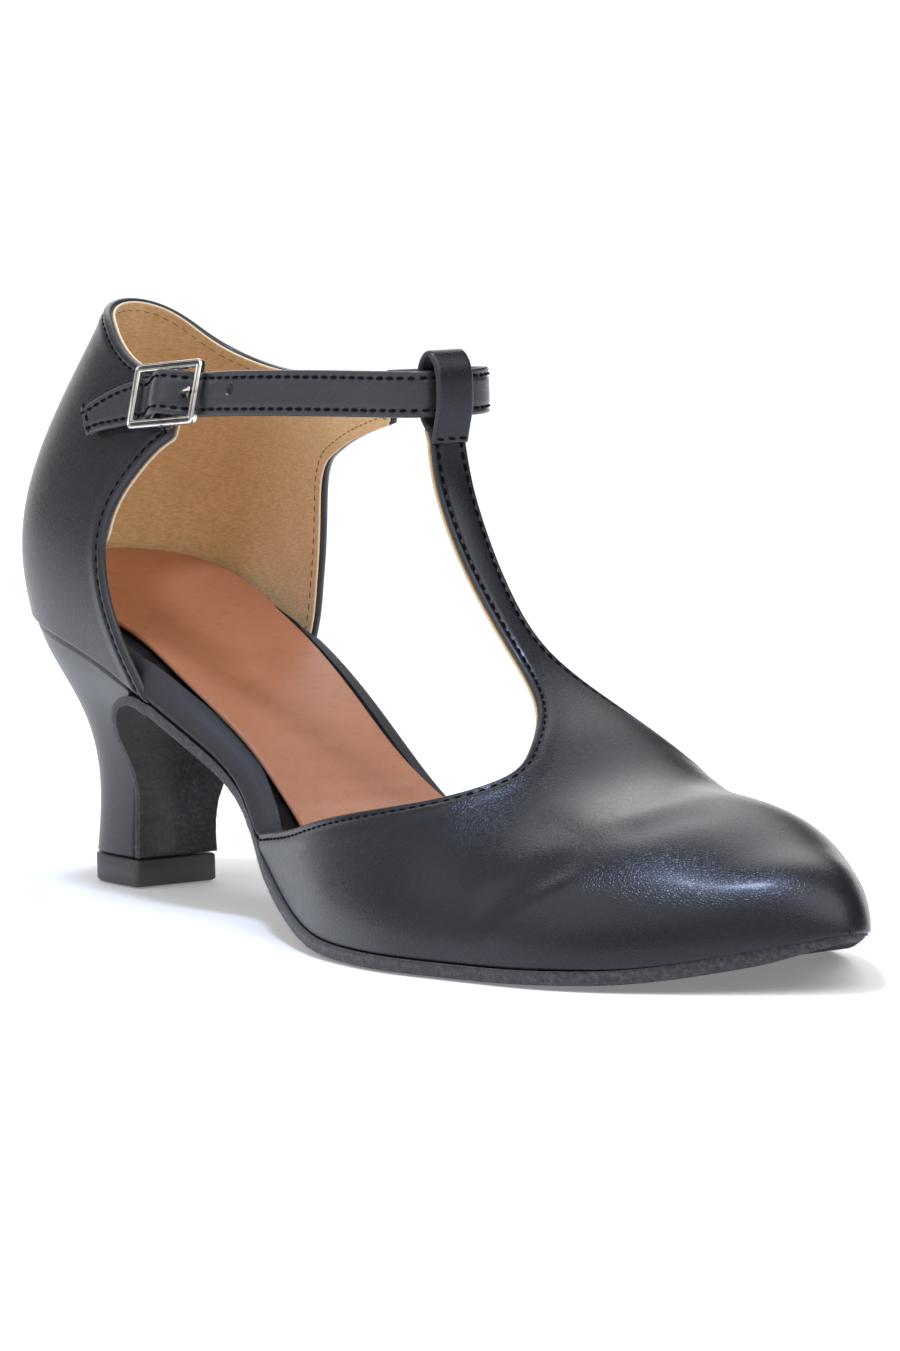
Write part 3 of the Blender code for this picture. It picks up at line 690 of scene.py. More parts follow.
class Graph:
    """A node tree; node() adds any node, with its settings first, and hands back one output."""

    def __init__(self, tree):
        self.tree = tree

    def node(self, kind, settings=None, inputs=None, output=0):
        made = self.tree.nodes.new(kind)
        for name, value in (settings or {}).items():
            setattr(made, name, value)
        for name, value in (inputs or {}).items():
            self.feed(made.inputs[name], value)
        return Field(self, made.outputs[output])

    def feed(self, socket, value):
        if isinstance(value, Field):
            self.tree.links.new(value.socket, socket)
        else:
            socket.default_value = value

    def step(self, field, low, high):
        """0 below low, 1 above high, with soft ends."""
        span = {"Value": field, "From Min": low, "From Max": high}
        return self.node("ShaderNodeMapRange", {"interpolation_type": "SMOOTHSTEP"}, span)


class Finish(Graph):
    """A material: constants go straight to the shader's sockets, fields are linked to them."""

    def __init__(self, name, **sockets):
        self.material = bpy.data.materials.new(name)
        self.material.use_nodes = True
        super().__init__(self.material.node_tree)
        self.shader = self.tree.nodes["Principled BSDF"]
        self.place = self.node("ShaderNodeTexCoord", output="Object")
        self.set(**sockets)

    def set(self, **sockets):
        """Shader sockets by name, with underscores for spaces."""
        for name, value in sockets.items():
            self.feed(self.shader.inputs[name.replace("_", " ")], value)

    def stretched(self, scale):
        return self.node("ShaderNodeMapping", None, {"Vector": self.place, "Scale": scale})

    def noise(self, size, detail=3.0, place=None, rough=0.5):
        """Soft noise from 0 to 1 whose patches are about size millimetres across."""
        inputs = {
            "Vector": place or self.place,
            "Scale": 1 / (size * MM),
            "Detail": detail,
            "Roughness": rough,
        }
        return self.node("ShaderNodeTexNoise", None, inputs)

    def cells(self, size, feature="DISTANCE_TO_EDGE"):
        inputs = {"Vector": self.place, "Scale": 1 / (size * MM)}
        return self.node("ShaderNodeTexVoronoi", {"feature": feature}, inputs)

    def mix(self, share, first, second):
        """A colour between two, each a field or three numbers."""
        colours = [c if isinstance(c, Field) else (*c, 1.0) for c in (first, second)]
        # A Mix node's colours come in at 6 and 7 and go out at 2
        inputs = {0: share, 6: colours[0], 7: colours[1]}
        return self.node("ShaderNodeMix", {"data_type": "RGBA"}, inputs, output=2)

    def attribute(self, name):
        """A number that the mesh carries at its points."""
        return self.node("ShaderNodeAttribute", {"attribute_name": name}, output="Fac")

    def edge(self):
        """Distance to the piece's cut edge in millimetres."""
        return self.attribute("edge")

    def bump(self, height, depth, strength=1.0):
        inputs = {"Height": height, "Distance": depth * MM, "Strength": strength}
        self.set(Normal=self.node("ShaderNodeBump", None, inputs))


# Finishes

LEATHER_TONES = ((0.0135, 0.0135, 0.016), (0.0195, 0.0195, 0.023))
# Darker copy of the black leather's tones for the heel and the insole: painted shade
SHADED_LEATHER_TONES = ((0.004, 0.004, 0.005), (0.0065, 0.0065, 0.008))
STRAP_TONES = ((0.034, 0.034, 0.036), (0.05, 0.05, 0.053))
LEATHER_TINT = (0.82, 0.85, 1.0, 1.0)
SUEDE_TONES = ((0.024, 0.024, 0.027), (0.115, 0.116, 0.123))
FUZZ_TONES = ((0.09, 0.09, 0.094), (0.26, 0.26, 0.265))
# Black thread, darker than the leather: its own black plus painted shade of the stitch pits
BLACK_THREAD_AND_PIT_SHADE_TONES = ((0.002, 0.002, 0.0025), (0.008, 0.008, 0.009))
BROWN_THREAD_TONES = ((0.2, 0.12, 0.06), (0.36, 0.225, 0.115))


def black_leather(name, tones=LEATHER_TONES, roughness=0.27, shine=0.34):
    made = Finish(name, Specular_IOR_Level=shine, Coat_Roughness=0.14, Specular_Tint=LEATHER_TINT)
    cloud = made.noise(26.0)
    pores = made.cells(0.55)
    fine = made.noise(0.16, 2.0)
    # Lighter near cut edges: partly edge wear, partly a painted highlight along the rims
    edge_wear_and_rim_highlight = 1 - made.step(made.edge(), 0.15, 0.9)
    colour = made.mix(cloud, *tones)
    made.set(
        Base_Color=made.mix(edge_wear_and_rim_highlight * 0.6, colour, (0.055, 0.055, 0.06)),
        Roughness=roughness - 0.03 + 0.03 * made.noise(6.0) + 0.04 * fine,
        Coat_Weight=0.07 + 0.06 * made.noise(40.0),
    )
    made.bump(made.step(pores, 0.0, 0.25) + 0.6 * fine, 0.05, 0.42)
    return made.material


def suede(name, dark, light):
    made = Finish(name, Specular_IOR_Level=0.15, Sheen_Weight=0.25, Sheen_Roughness=0.5)
    nap = made.noise(0.35, 4.0)
    brushed = made.noise(0.9, 5.0, rough=0.65)
    made.set(Base_Color=made.mix(0.55 * nap + 0.6 * made.step(brushed, 0.4, 0.75), dark, light))
    made.set(Roughness=0.9 + 0.1 * brushed)
    made.bump(nap + 0.6 * brushed, 0.18, 0.7)
    return made.material


def beige_lining(name):
    made = Finish(name, Specular_IOR_Level=0.2, Sheen_Weight=0.15)
    hair = made.noise(0.5, 4.0, made.stretched((0.4, 0.4, 1.5)), 0.6)
    patches = made.noise(9.0, 3.0)
    pores = made.step(made.cells(0.9, "F1"), 0.12, 0.3)
    skin = made.mix(made.step(hair, 0.25, 0.75), (0.64, 0.41, 0.195), (0.86, 0.61, 0.33))
    skin = made.mix(0.3 * made.step(patches, 0.35, 0.7), skin, (0.63, 0.41, 0.20))
    cut = 1 - made.step(made.edge() + 0.2 * made.noise(0.8), 0.12, 0.42)
    made.set(Base_Color=made.mix(cut, skin, (0.80, 0.65, 0.45)), Roughness=0.75 + 0.2 * hair)
    made.bump(hair + 0.4 * pores, 0.06, 0.5)
    return made.material


def tan_sock(name):
    made = Finish(name, Specular_IOR_Level=0.6, Coat_Roughness=0.35)
    cloud = made.noise(18.0, 3.0)
    grain = made.cells(0.7)
    crinkle = made.noise(2.0, 4.0, made.stretched((1.2, 0.8, 1.0)), 0.55)
    tan = made.mix(cloud, (0.325, 0.118, 0.054), (0.415, 0.168, 0.08))
    tan = made.mix(0.18 * made.step(crinkle, 0.45, 0.75), tan, (0.22, 0.064, 0.026))
    cut = 1 - made.step(made.edge(), 0.3, 0.55)
    made.set(Base_Color=made.mix(cut, tan, (0.27, 0.105, 0.05)), Roughness=0.31 + 0.16 * crinkle)
    made.set(Coat_Weight=0.02 + 0.08 * cloud)
    made.bump(made.step(grain, 0.0, 0.22) + 0.7 * crinkle, 0.06, 0.45)
    return made.material


def rubber(name):
    made = Finish(name, Specular_IOR_Level=0.45)
    scuff = made.noise(0.5, 4.0, made.stretched((0.4, 0.4, 1.6)))
    made.set(Base_Color=made.mix(scuff, (0.052, 0.052, 0.055), (0.095, 0.095, 0.1)))
    made.set(Roughness=0.42 + 0.22 * scuff)
    made.bump(scuff, 0.04, 0.4)
    return made.material


def polished_metal(name):
    made = Finish(name, Metallic=1.0)
    # Lighter and darker patches of silver: a painted reflection contrast; the same noise also varies the
    # roughness
    reflection_mottle = made.noise(2.6, 3.0)
    silver = made.mix(made.step(reflection_mottle, 0.45, 0.8), (0.86, 0.84, 0.795), (0.56, 0.54, 0.49))
    # The frame's groove is painted nearly black: painted shade
    made.set(Base_Color=made.mix(made.attribute("recess") * 0.85, silver, (0.05, 0.047, 0.04)))
    made.set(Roughness=0.1 + 0.12 * reflection_mottle)
    made.bump(made.noise(0.25, 2.0), 0.006, 0.15)
    return made.material


def thread(name, dark, light):
    made = Finish(name, Specular_IOR_Level=0.08)
    twist = made.noise(0.22, 2.0)
    made.set(Base_Color=made.mix(twist, dark, light), Roughness=0.7 + 0.25 * twist)
    made.bump(twist, 0.05, 0.6)
    return made.material


# Meshes


def grid_faces(rows, columns, start=0):
    """Quads of a grid of points that is stored row by row."""
    corner = start + np.arange(rows - 1)[:, None] * columns + np.arange(columns - 1)[None, :]
    corner = corner.reshape(-1)
    return np.stack([corner, corner + columns, corner + columns + 1, corner + 1], 1).tolist()


def weld(points, faces):
    """Points that coincide made one; also returns where each old point went."""
    keys = np.round(points / WELD_GRAIN).astype(np.int64)
    _, first, index = np.unique(keys, axis=0, return_index=True, return_inverse=True)
    index = index.reshape(-1)
    kept = []
    for face in faces:
        ring = [index[v] for v in face]
        ring = [v for k, v in enumerate(ring) if v != ring[k - 1]]
        if len(set(ring)) > 2:
            kept.append(ring)
    return points[first], kept, index


def open_edges(faces):
    """Edges that only one face uses, in that face's own direction."""
    found = {}
    for face in faces:
        for k, b in enumerate(face):
            a = face[k - 1]
            if (b, a) in found:
                del found[b, a]
            else:
                found[a, b] = True
    return list(found)


def normals_of(points, faces):
    total = np.zeros_like(points)
    for face in faces:
        a, b, c = points[face[0]], points[face[1]], points[face[2]]
        d = points[face[-1]]
        total[face] += np.cross(c - a, d - b) if len(face) > 3 else np.cross(b - a, c - a)
    return unit(total)


def nearest_gap(points, ends):
    """Distance from each point to the nearest of some edges, given as pairs of end points."""
    shares = np.linspace(0, 1, EDGE_SAMPLES)[:, None, None]
    targets = (ends[None, :, 0] * (1 - shares) + ends[None, :, 1] * shares).reshape(-1, 3)
    tree = KDTree(len(targets))
    for k, target in enumerate(targets):
        tree.insert(target, k)
    tree.balance()
    return np.array([tree.find(point)[2] for point in points])


class Skin:
    """An open surface of welded grids, with its normals and its distance to cut edges and to any rim."""

    def __init__(self, grids, cuts):
        faces = []
        start = 0
        for grid in grids:
            faces += grid_faces(grid.shape[0], grid.shape[1], start)
            start += grid.shape[0] * grid.shape[1]
        points = np.concatenate([grid.reshape(-1, 3) for grid in grids])
        self.points, self.faces, index = weld(points, faces)
        self.normals = normals_of(self.points, self.faces)
        cut = np.zeros(len(self.points), bool)
        cut[index[np.concatenate([mask.reshape(-1) for mask in cuts])]] = True
        self.open = open_edges(self.faces)
        rims = np.array(self.open)
        self.rim = nearest_gap(self.points, self.points[rims])
        cut_rims = rims[cut[rims].all(1)]
        self.edge = nearest_gap(self.points, self.points[cut_rims])
        self.tree = BVHTree.FromPolygons(self.points.tolist(), self.faces)

    def on(self, places):
        """Nearest points of the skin and their normals."""
        found = [self.tree.find_nearest(Vector(place)) for place in places]
        return np.array([f[0] for f in found]), np.array([f[1] for f in found])


def cut_all_round(grid):
    """A skin of one grid whose whole rim is a cut edge."""
    return Skin([grid], [np.ones(grid.shape[:2], bool)])


def cut_mask(grid, rows=(), columns=()):
    """Mask of the points in a grid's cut rows and columns."""
    mask = np.zeros(grid.shape[:2], bool)
    for row in rows:
        mask[row, :] = True
    for column in columns:
        mask[:, column] = True
    return mask


def piece(name, points, faces, finish, **attributes):
    """A smooth mesh object from last coordinates, with number attributes for its shader."""
    mesh = bpy.data.meshes.new(name)
    mesh.from_pydata(((np.asarray(points) - ORIGIN) * MM).tolist(), [], [list(map(int, f)) for f in faces])
    for label, values in attributes.items():
        mesh.attributes.new(label, "FLOAT", "POINT").data.foreach_set("value", values)
    mesh.shade_smooth()
    mesh.materials.append(finish)
    made = bpy.data.objects.new(name, mesh)
    bpy.context.scene.collection.objects.link(made)
    return made


def wear(made, slot, *nodes):
    """Hand a finished piece to the frame under the root body, and hide the solids it stands for; slot is
    not used.
    """
    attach(made, "root")
    if nodes:
        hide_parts(*nodes)
    return made


def rolled(gap, thickness):
    """How far a face falls away at a rounded edge, by distance from it."""
    radius = np.asarray(thickness) / 2
    short = np.clip(radius - gap, 0, radius)
    return radius - np.sqrt(radius * radius - short * short)


def shell(name, skin, depth, thickness, finish, relief=0.0):
    """A closed wall under a skin: how deep it starts, its thickness, and relief on its outer face."""
    fade = smooth(0, RELIEF_FADE, skin.rim)
    outer = -depth - rolled(skin.rim, thickness) + relief * fade
    inner = -depth - thickness + rolled(skin.rim, thickness)
    outer_face = skin.points + skin.normals * outer[:, None]
    inner_face = skin.points + skin.normals * inner[:, None]
    count = len(skin.points)
    faces = list(skin.faces)
    faces += [[v + count for v in face[::-1]] for face in skin.faces]
    faces += [[b, a, a + count, b + count] for a, b in skin.open]
    points, faces, index = weld(np.concatenate([outer_face, inner_face]), faces)
    edge = np.zeros(len(points))
    edge[index] = np.concatenate([skin.edge, skin.edge])
    return piece(name, points, faces, finish, edge=edge)


def folded(gap, inset, swell=FOLD_SWELL):
    """Relief of a folded, stitched edge by distance from it."""
    swell = swell * (1 - smooth(*FOLD_WIDTH, gap))
    return swell - GROOVE_DEPTH * np.exp(-(((gap - inset) / GROOVE_HALF) ** 2))


def creased(points, lines):
    """Relief of soft troughs and ridges along straight lines."""
    total = np.zeros(len(points))
    for x0, y0, z0, x1, y1, z1, half, sink in zip(*lines.values()):
        start = np.array([x0, y0, z0])
        span = np.array([x1, y1, z1]) - start
        share = (points - start) @ span / (span @ span)
        nearest = start + np.clip(share, 0, 1)[:, None] * span
        gap = np.linalg.norm(points - nearest, axis=1)
        total -= sink * np.exp(-((gap / half) ** 2))
    return total


def speckle(points, size):
    """Fixed rough noise from -1 to 1 at points, with lumps of a size."""
    return np.array([noise.noise(Vector(point) / size) for point in points])


def stack_faces(levels, count):
    """Faces between levels, each a lateral and a medial row that close the ends."""
    faces = []
    for low in (0, levels - 1):
        strip = grid_faces(2, count, 2 * low * count)
        faces += strip if low else [face[::-1] for face in strip]
    for low in range(levels - 1):
        for side in (0, 1):
            here = (2 * low + side) * count + np.arange(count - 1)
            above = here + 2 * count
            wall = np.stack([here, here + 1, above + 1, above], 1)
            faces += (wall if side == 0 else wall[:, ::-1]).tolist()
        for end in (0, count - 1):
            here = 2 * low * count + end
            wall = [here + count, here, here + 2 * count, here + 3 * count]
            faces.append(wall if end == 0 else wall[::-1])
    return faces


def stack(name, levels, finish):
    """A solid between levels, each a lateral and a medial row of points."""
    points = np.concatenate([row for level in levels for row in level])
    points, faces, _ = weld(points, stack_faces(len(levels), len(levels[0][0])))
    return piece(name, points, faces, finish)


def loft(name, rings, finish):
    """A solid through closed rings of equal counts, capped at both ends."""
    count = len(rings[0])
    faces = [list(range(count))[::-1], list(range((len(rings) - 1) * count, len(rings) * count))]
    for low in range(len(rings) - 1):
        for k in range(count):
            nxt = (k + 1) % count
            here, above = low * count, (low + 1) * count
            faces.append([here + k, here + nxt, above + nxt, above + k])
    return piece(name, np.concatenate(rings), faces, finish)


def tube(points, side, radii, ring=BAR_SIDES):
    """Rings of a round bar along a flat path; side is the path plane's normal."""
    points = np.asarray(points, float)
    along = unit(np.gradient(points, axis=0))
    second = np.cross(along, side)
    angles = np.arange(ring) * 2 * np.pi / ring
    spread = np.cos(angles)[None, :, None] * side + np.sin(angles)[None, :, None] * second[:, None, :]
    return list(points[:, None, :] + np.broadcast_to(radii, len(points))[:, None, None] * spread)


# Upper


def vamp_point(feather, share, side):
    """Point of the vamp's skin on the girth from a feather station, 0 at the feather, 1 at the ridge."""
    feather, share, side = np.broadcast_arrays(*(np.asarray(v, float) for v in (feather, share, side)))
    angle = arc(feather)
    ridge = np.stack([girth[name](angle) for name in ("ridge_x", "ridge_y", "ridge_z")], -1)
    start = np.stack([feather, edge_at(feather, side), feather_height(feather, side) - FEATHER_LAP], -1)
    half = (edge_at(feather, 1) - edge_at(feather, -1)) / 2
    tall = ridge[..., 2] - start[..., 2]
    wall = girth["wall"](angle)
    first = start.copy()
    first[..., 0] += wall * (ridge[..., 0] - feather)
    first[..., 1] += side * girth["lean"](angle) * wall * tall
    first[..., 2] += wall * tall
    second = ridge.copy()
    second[..., 1] += side * girth["crown"](angle) * half
    b = share[..., None]
    a = 1 - b
    return a**3 * start + 3 * a * a * b * first + 3 * a * b * b * second + b**3 * ridge


def throat_curves():
    """Cut edge of each side as girth and share by row number, with the row where it is furthest forward."""
    rows = np.arange(len(THROAT["lateral_girth"]))
    fine = np.linspace(0, rows[-1], THROAT_SEARCH)
    curves = {}
    for name in SIDES:
        girth_of = spline(rows, THROAT[name + "_girth"])
        share_of = spline(rows, THROAT[name + "_share"])
        curves[name] = (girth_of, share_of, fine[np.argmax(girth_of(fine))], rows[-1])
    return curves


def across(lateral, medial, columns):
    """A row over the ridge from a lateral to a medial girth and share."""
    signed = 2 * spaced(columns) - 1
    share = np.where(signed < 0, 1 + signed * (1 - lateral[1]), 1 - signed * (1 - medial[1]))
    feather = lateral[0] + (medial[0] - lateral[0]) * (signed + 1) / 2
    return vamp_point(feather, share, np.where(signed < 0, -1, 1))


def wing_row(feather, share, side, columns):
    row = vamp_point(feather, share * spaced(columns), side)
    return row if side < 0 else row[::-1]


def loop_grid(rows, columns):
    """Rows of the folded loop's outer face, from its sewn front end over the strap to its back end."""
    course = path([LOOP["x"], LOOP["z"]])(np.linspace(0, 1, rows))
    y = LOOP_CENTRE + LOOP_WIDTH * (spaced(columns) - 0.5)
    grid = np.empty((rows, columns, 3))
    grid[..., 0] = course[:, :1]
    grid[..., 1] = y
    grid[..., 2] = course[:, 1:]
    return grid[::-1]


def vamp_columns(fine):
    """Points up a wing and points across the T-strap, for a fineness of mesh."""
    return int(WING_COLUMNS * fine), 2 * int(T_STRAP_HALF_COLUMNS * fine) + 1


def forepart_grid(curves, fine, toe):
    """Rows over the forepart, from the front of the throat to a share of the way to the toe's tip."""
    wing_columns, strap_columns = vamp_columns(fine)
    ends = {}
    for name, (girth_of, share_of, crotch, _) in curves.items():
        ends[name] = (girth_of(crotch), share_of(crotch))
    rows = []
    for step in toe * spaced(int(FOREPART_ROWS * fine)):
        here = {name: (first + (LENGTH - first) * step, share) for name, (first, share) in ends.items()}
        left = wing_row(*here["lateral"], -1, wing_columns)
        right = wing_row(*here["medial"], 1, wing_columns)
        middle = across(here["lateral"], here["medial"], strap_columns)
        rows.append(np.concatenate([left[:-1], middle, right[1:]]))
    return np.array(rows)


def wing_grid(curve, side, fine):
    """Rows of one wing, from its tip at the waist to the front of the throat."""
    girth_of, share_of, crotch, _ = curve
    columns, _ = vamp_columns(fine)
    steps = crotch * np.sin(np.linspace(0, np.pi / 2, int(WING_ROWS * fine)))
    return np.array([wing_row(girth_of(step), share_of(step), side, columns) for step in steps])


def t_strap_grid(curves, fine, proud):
    """Rows of the T-strap from its top, tucked under the loop, down to the throat."""
    _, columns = vamp_columns(fine)
    rows = []
    for share in np.linspace(0, 1, int(T_STRAP_ROWS * fine)):
        here = []
        for girth_of, share_of, crotch, last in curves.values():
            step = crotch + (last - crotch) * share
            here.append((girth_of(step), share_of(step)))
        rows.append(across(*here, columns))
    rows += [rows[-1] + share * np.array(UNDER_LOOP) for share in np.linspace(0, 1, TUCK_ROWS)[1:]]
    grid = np.array(rows)
    widening = np.linspace(*proud, len(grid)) * smooth(0, PROUD_EASE_ROWS, np.arange(len(grid)))
    grid[:, 0] += unit(grid[:, 0] - grid[:, 3]) * widening[:, None]
    return grid[::-1]


def vamp_skin(fine, toe=1.0, proud=(0.0, 0.0)):
    """Forepart up to a share of the toe, wings and T-strap; proud widens the T-strap's outer side."""
    curves = throat_curves()
    grids = [forepart_grid(curves, fine, toe)]
    cuts = [cut_mask(grids[0])]
    for name, side in SIDES.items():
        grids.append(wing_grid(curves[name], side, fine))
        cuts.append(cut_mask(grids[-1], [0], [-1 if side < 0 else 0]))
    grids.append(t_strap_grid(curves, fine, proud))
    cuts.append(cut_mask(grids[-1], [0], [0, -1]))
    return Skin(grids, cuts)


def throat_line(name):
    """Points of the vamp's cut edge on one side, from the waist to the top of the T-strap."""
    girth_of, share_of, _, last = throat_curves()[name]
    steps = np.linspace(THROAT_SEWN_START, last, THROAT_LINE_POINTS)
    return vamp_point(girth_of(steps), share_of(steps), SIDES[name])


def inset_line(skin, edge, turn, inset, sink=0.0):
    """A line on a skin at a distance inside its edge, and the skin's normals along it."""
    along = unit(np.gradient(edge, axis=0))
    _, normals = skin.on(edge)
    inward = turn * unit(np.cross(normals, along))
    places, normals = skin.on(edge + inward * inset)
    return places + normals * sink, normals


def build_vamp(leather, lining):
    """The vamp with its T-strap, the lining under it, and the loop; returns the lines to sew."""
    skin = vamp_skin(1.0)
    swell = FOLD_SWELL * (1 - smooth(*FOLD_FADE, skin.points[:, 2]))
    relief = folded(skin.edge, VAMP_STITCH_INSET, swell) + creased(skin.points, CREASES)
    wear(shell("vamp", skin, 0.0, VAMP_LEATHER, leather, relief), "black_leather", "vamp")
    bare = vamp_skin(LINING_FINENESS, LINING_TOE, LINING_PROUD)
    wear(shell("vamp_lining", bare, VAMP_LEATHER + LINING_STEP, LINING, lining), "tan_leather")
    band = cut_all_round(loop_grid(*LOOP_GRID))
    relief = LOOP_RELIEF * folded(band.edge, 0.0)
    wear(shell("strap_loop", band, 0.0, LOOP_LEATHER, leather, relief), "black_leather")
    y = LOOP_CENTRE + LOOP_STITCH_SPAN * np.linspace(-0.5, 0.5, LOOP_LINE_POINTS)
    x = np.full(LOOP_LINE_POINTS, LOOP["x"][0])
    row = np.stack([x, y, np.full(LOOP_LINE_POINTS, LOOP["z"][0] + LOOP_STITCH_RISE)], 1)
    return [
        inset_line(skin, throat_line("lateral"), -1, VAMP_STITCH_INSET, STITCH_SINK),
        inset_line(skin, throat_line("medial"), 1, VAMP_STITCH_INSET, STITCH_SINK),
        band.on(row),
    ]


def cup_point(station, share):
    """Point of the heel cup's skin: seat station, negative on the lateral side, and share of height."""
    station = np.asarray(station, float)
    x0 = abs(station)
    side = np.where(station < 0, -1, 1)
    low = seat(np.minimum(x0, SEAT_FRONT))
    rise = share * (topline(side * arc(x0)) - low)
    back = cup["back"](rise)
    x = back + x0 * (1 - back / CUP_PIVOT)
    y = edge_at(x0, side) * cup["width"](rise) + cup["sway"](rise)
    return np.stack([x, y, low + rise], -1)


def front_station(share, name, trim):
    """Seat station where the cup's front edge cuts a row, trimmed low on the lateral side."""
    x = min(fronts[name](share), FRONT_ENDS[name])
    if name == "lateral":
        x -= trim * (1 - smooth(*TRIM_END, share))
    station = x
    for _ in range(FRONT_PASSES):
        station = station + x - cup_point(SIDES[name] * station, share)[0]
    return station


def cup_row(share, shares, trim=0.0):
    """A row of the cup from its lateral front edge round the back to its medial front edge."""
    ends = [SIDES[name] * arc(front_station(share, name, trim)) for name in SIDES]
    signed = ends[0] + (ends[1] - ends[0]) * shares
    return cup_point(np.sign(signed) * station_at(abs(signed)), share)


def cup_skin(rows, columns, trim=0.0):
    grid = np.array([cup_row(share, spaced(columns), trim) for share in spaced(rows)])
    return Skin([grid], [cut_mask(grid, [-1], [0, -1])])


def build_quarter(leather, lining):
    """The heel cup and its lining; returns the lines to sew on its outside and on the lining."""
    skin = cup_skin(*QUARTER_GRID)
    seam = np.exp(-((skin.points[:, 1] / BACK_SEAM_HALF) ** 2)) * (skin.points[:, 0] < BACK_SEAM_FRONT)
    relief = folded(skin.edge, QUARTER_STITCH_INSET) - BACK_SEAM_DEPTH * seam
    wear(shell("quarter", skin, 0.0, QUARTER_LEATHER, leather, relief), "black_leather", "quarter")
    inside = cup_skin(*QUARTER_LINING_GRID, LINING_TRIM)
    folds = creased(inside.points, LINING_FOLDS)
    depth = QUARTER_LEATHER + LINING_STEP
    wear(shell("quarter_lining", inside, depth, LINING - folds, lining), "tan_leather")
    shares = np.linspace(*FRONT_SEWN, FRONT_LINE_POINTS)
    edges = [(cup_row(1.0, np.linspace(0.0, 1.0, TOP_LINE_POINTS)), 1)]
    for end, turn in ((0.0, 1), (1.0, -1)):
        edges.append((np.array([cup_row(share, np.array([end]))[0] for share in shares]), turn))
    outside = []
    sewn = []
    for edge, turn in edges:
        outside.append(inset_line(skin, edge, turn, QUARTER_STITCH_INSET, STITCH_SINK))
        places, normals = inset_line(inside, edge, turn, LINING_STITCH_INSET, -(depth + LINING))
        sewn.append((places, -normals))
    return outside, sewn


# Ankle strap and buckle


def strap_frame(share):
    """Middle point, direction, outward normal and width direction of the strap before it is woven."""
    here = strap_course(share)
    along = unit((strap_course(share + STRAP_STEP) - strap_course(share - STRAP_STEP))[:3])
    outward = unit(np.array([-along[1], along[0], 0.0]))
    upward = np.array([0.0, 0.0, 1.0]) - outward * here[3]
    upward = unit(upward - along * (upward @ along))
    return here[:3], along, np.cross(upward, along), upward


def strap_run():
    """Shares of the strap's course, the length up to each, and the length and share at the centre bar."""
    shares = np.linspace(0, 1, STRAP_ROWS)
    points = strap_course(shares)[:, :3]
    run = np.concatenate([[0], np.cumsum(np.linalg.norm(np.diff(points, axis=0), axis=1))])
    lateral = shares > STRAP_LATERAL_START
    nearest = np.argmin(abs(points[lateral, 0] - BUCKLE_X))
    return shares, run, run[lateral][nearest], shares[lateral][nearest]


def buckle_place(along, across_strap, out):
    """Point given along the strap from the centre bar, across it and out from it."""
    middle, direction, outward, upward = strap_frame(strap_run()[3])
    return middle + direction * along + upward * across_strap + outward * out


def weave(distance):
    """How far the strap rides out over the centre bar, by distance from it towards the tip."""
    reach = FRAME_REACH + FRAME_SHIFT * np.sign(distance)
    inside = np.clip(abs(distance) / reach, 0, 1)
    return STRAP_BULGE * np.cos(inside * np.pi / 2) ** 2


def strap_rows(narrower, columns):
    """Rows across the strap's outer face, from top to bottom."""
    shares, run, bar, _ = strap_run()
    rows = []
    for share, length in zip(shares, run):
        middle, along, outward, upward = strap_frame(np.clip(share, STRAP_STEP, 1 - STRAP_STEP))
        width = STRAP_WIDTH + (STRAP_TIP_WIDTH - STRAP_WIDTH) * smooth(STRAP_TAPER_START, 1.0, share)
        face = middle + outward * (STRAP_THICKNESS / 2 + weave(length - bar))
        row = face + upward * ((width - narrower) * (0.5 - spaced(columns)))[:, None]
        slant = TIP_SLANT * smooth(TIP_SLANT_START, 1.0, share) * spaced(columns)
        rows.append(row - along * slant[:, None])
    return np.array(rows)


def punch(target, cutters):
    """Cut holes in a piece and remove the cutters."""
    for cutter in cutters:
        cut = target.modifiers.new(cutter.name, "BOOLEAN")
        cut.operation = "DIFFERENCE"
        cut.solver = "EXACT"
        cut.object = cutter
    graph = bpy.context.evaluated_depsgraph_get()
    mesh = bpy.data.meshes.new_from_object(target.evaluated_get(graph))
    target.modifiers.clear()
    target.data = mesh
    for cutter in cutters:
        bpy.data.objects.remove(cutter)


def hole_cutters(finish, depth):
    """Round pins across the strap where its holes are, down to a depth under its middle."""
    shares, run, bar, _ = strap_run()
    made = []
    for k, (along, rise, radius) in enumerate(zip(*STRAP_HOLES.values())):
        share = np.interp(bar + along, run, shares)
        middle, direction, outward, upward = strap_frame(share)
        ends = [middle + upward * rise + outward * (weave(along) + out) for out in (-depth, HOLE_PIN)]
        made.append(loft(f"hole_{k}", tube(ends, direction, radius, HOLE_SIDES), finish))
    return made


def build_strap(leather, lining):
    """The ankle strap and its backing with their holes; returns the lines to sew."""
    grid = strap_rows(0.0, STRAP_COLUMNS)
    skin = cut_all_round(grid)
    relief = folded(skin.edge, STRAP_STITCH_INSET, 0.0)
    strap = shell("ankle_strap", skin, 0.0, STRAP_LEATHER, leather, relief)
    back = cut_all_round(strap_rows(BACKING_NARROWER, BACKING_COLUMNS))
    backing = shell("ankle_strap_backing", back, STRAP_LEATHER + LINING_STEP, LINING - LINING_STEP, lining)
    for ply, depth in ((strap, HOLE_DEPTH), (backing, HOLE_PIN)):
        punch(ply, hole_cutters(leather, depth))
    wear(strap, "black_leather", "ankle_strap")
    wear(backing, "tan_leather")
    edges = ((grid[STRAP_SEWN, 0], 1), (grid[STRAP_SEWN, -1], -1), (grid[-1, STRAP_SEWN], 1))
    return [inset_line(skin, edge, turn, STRAP_STITCH_INSET, STITCH_SINK) for edge, turn in edges]


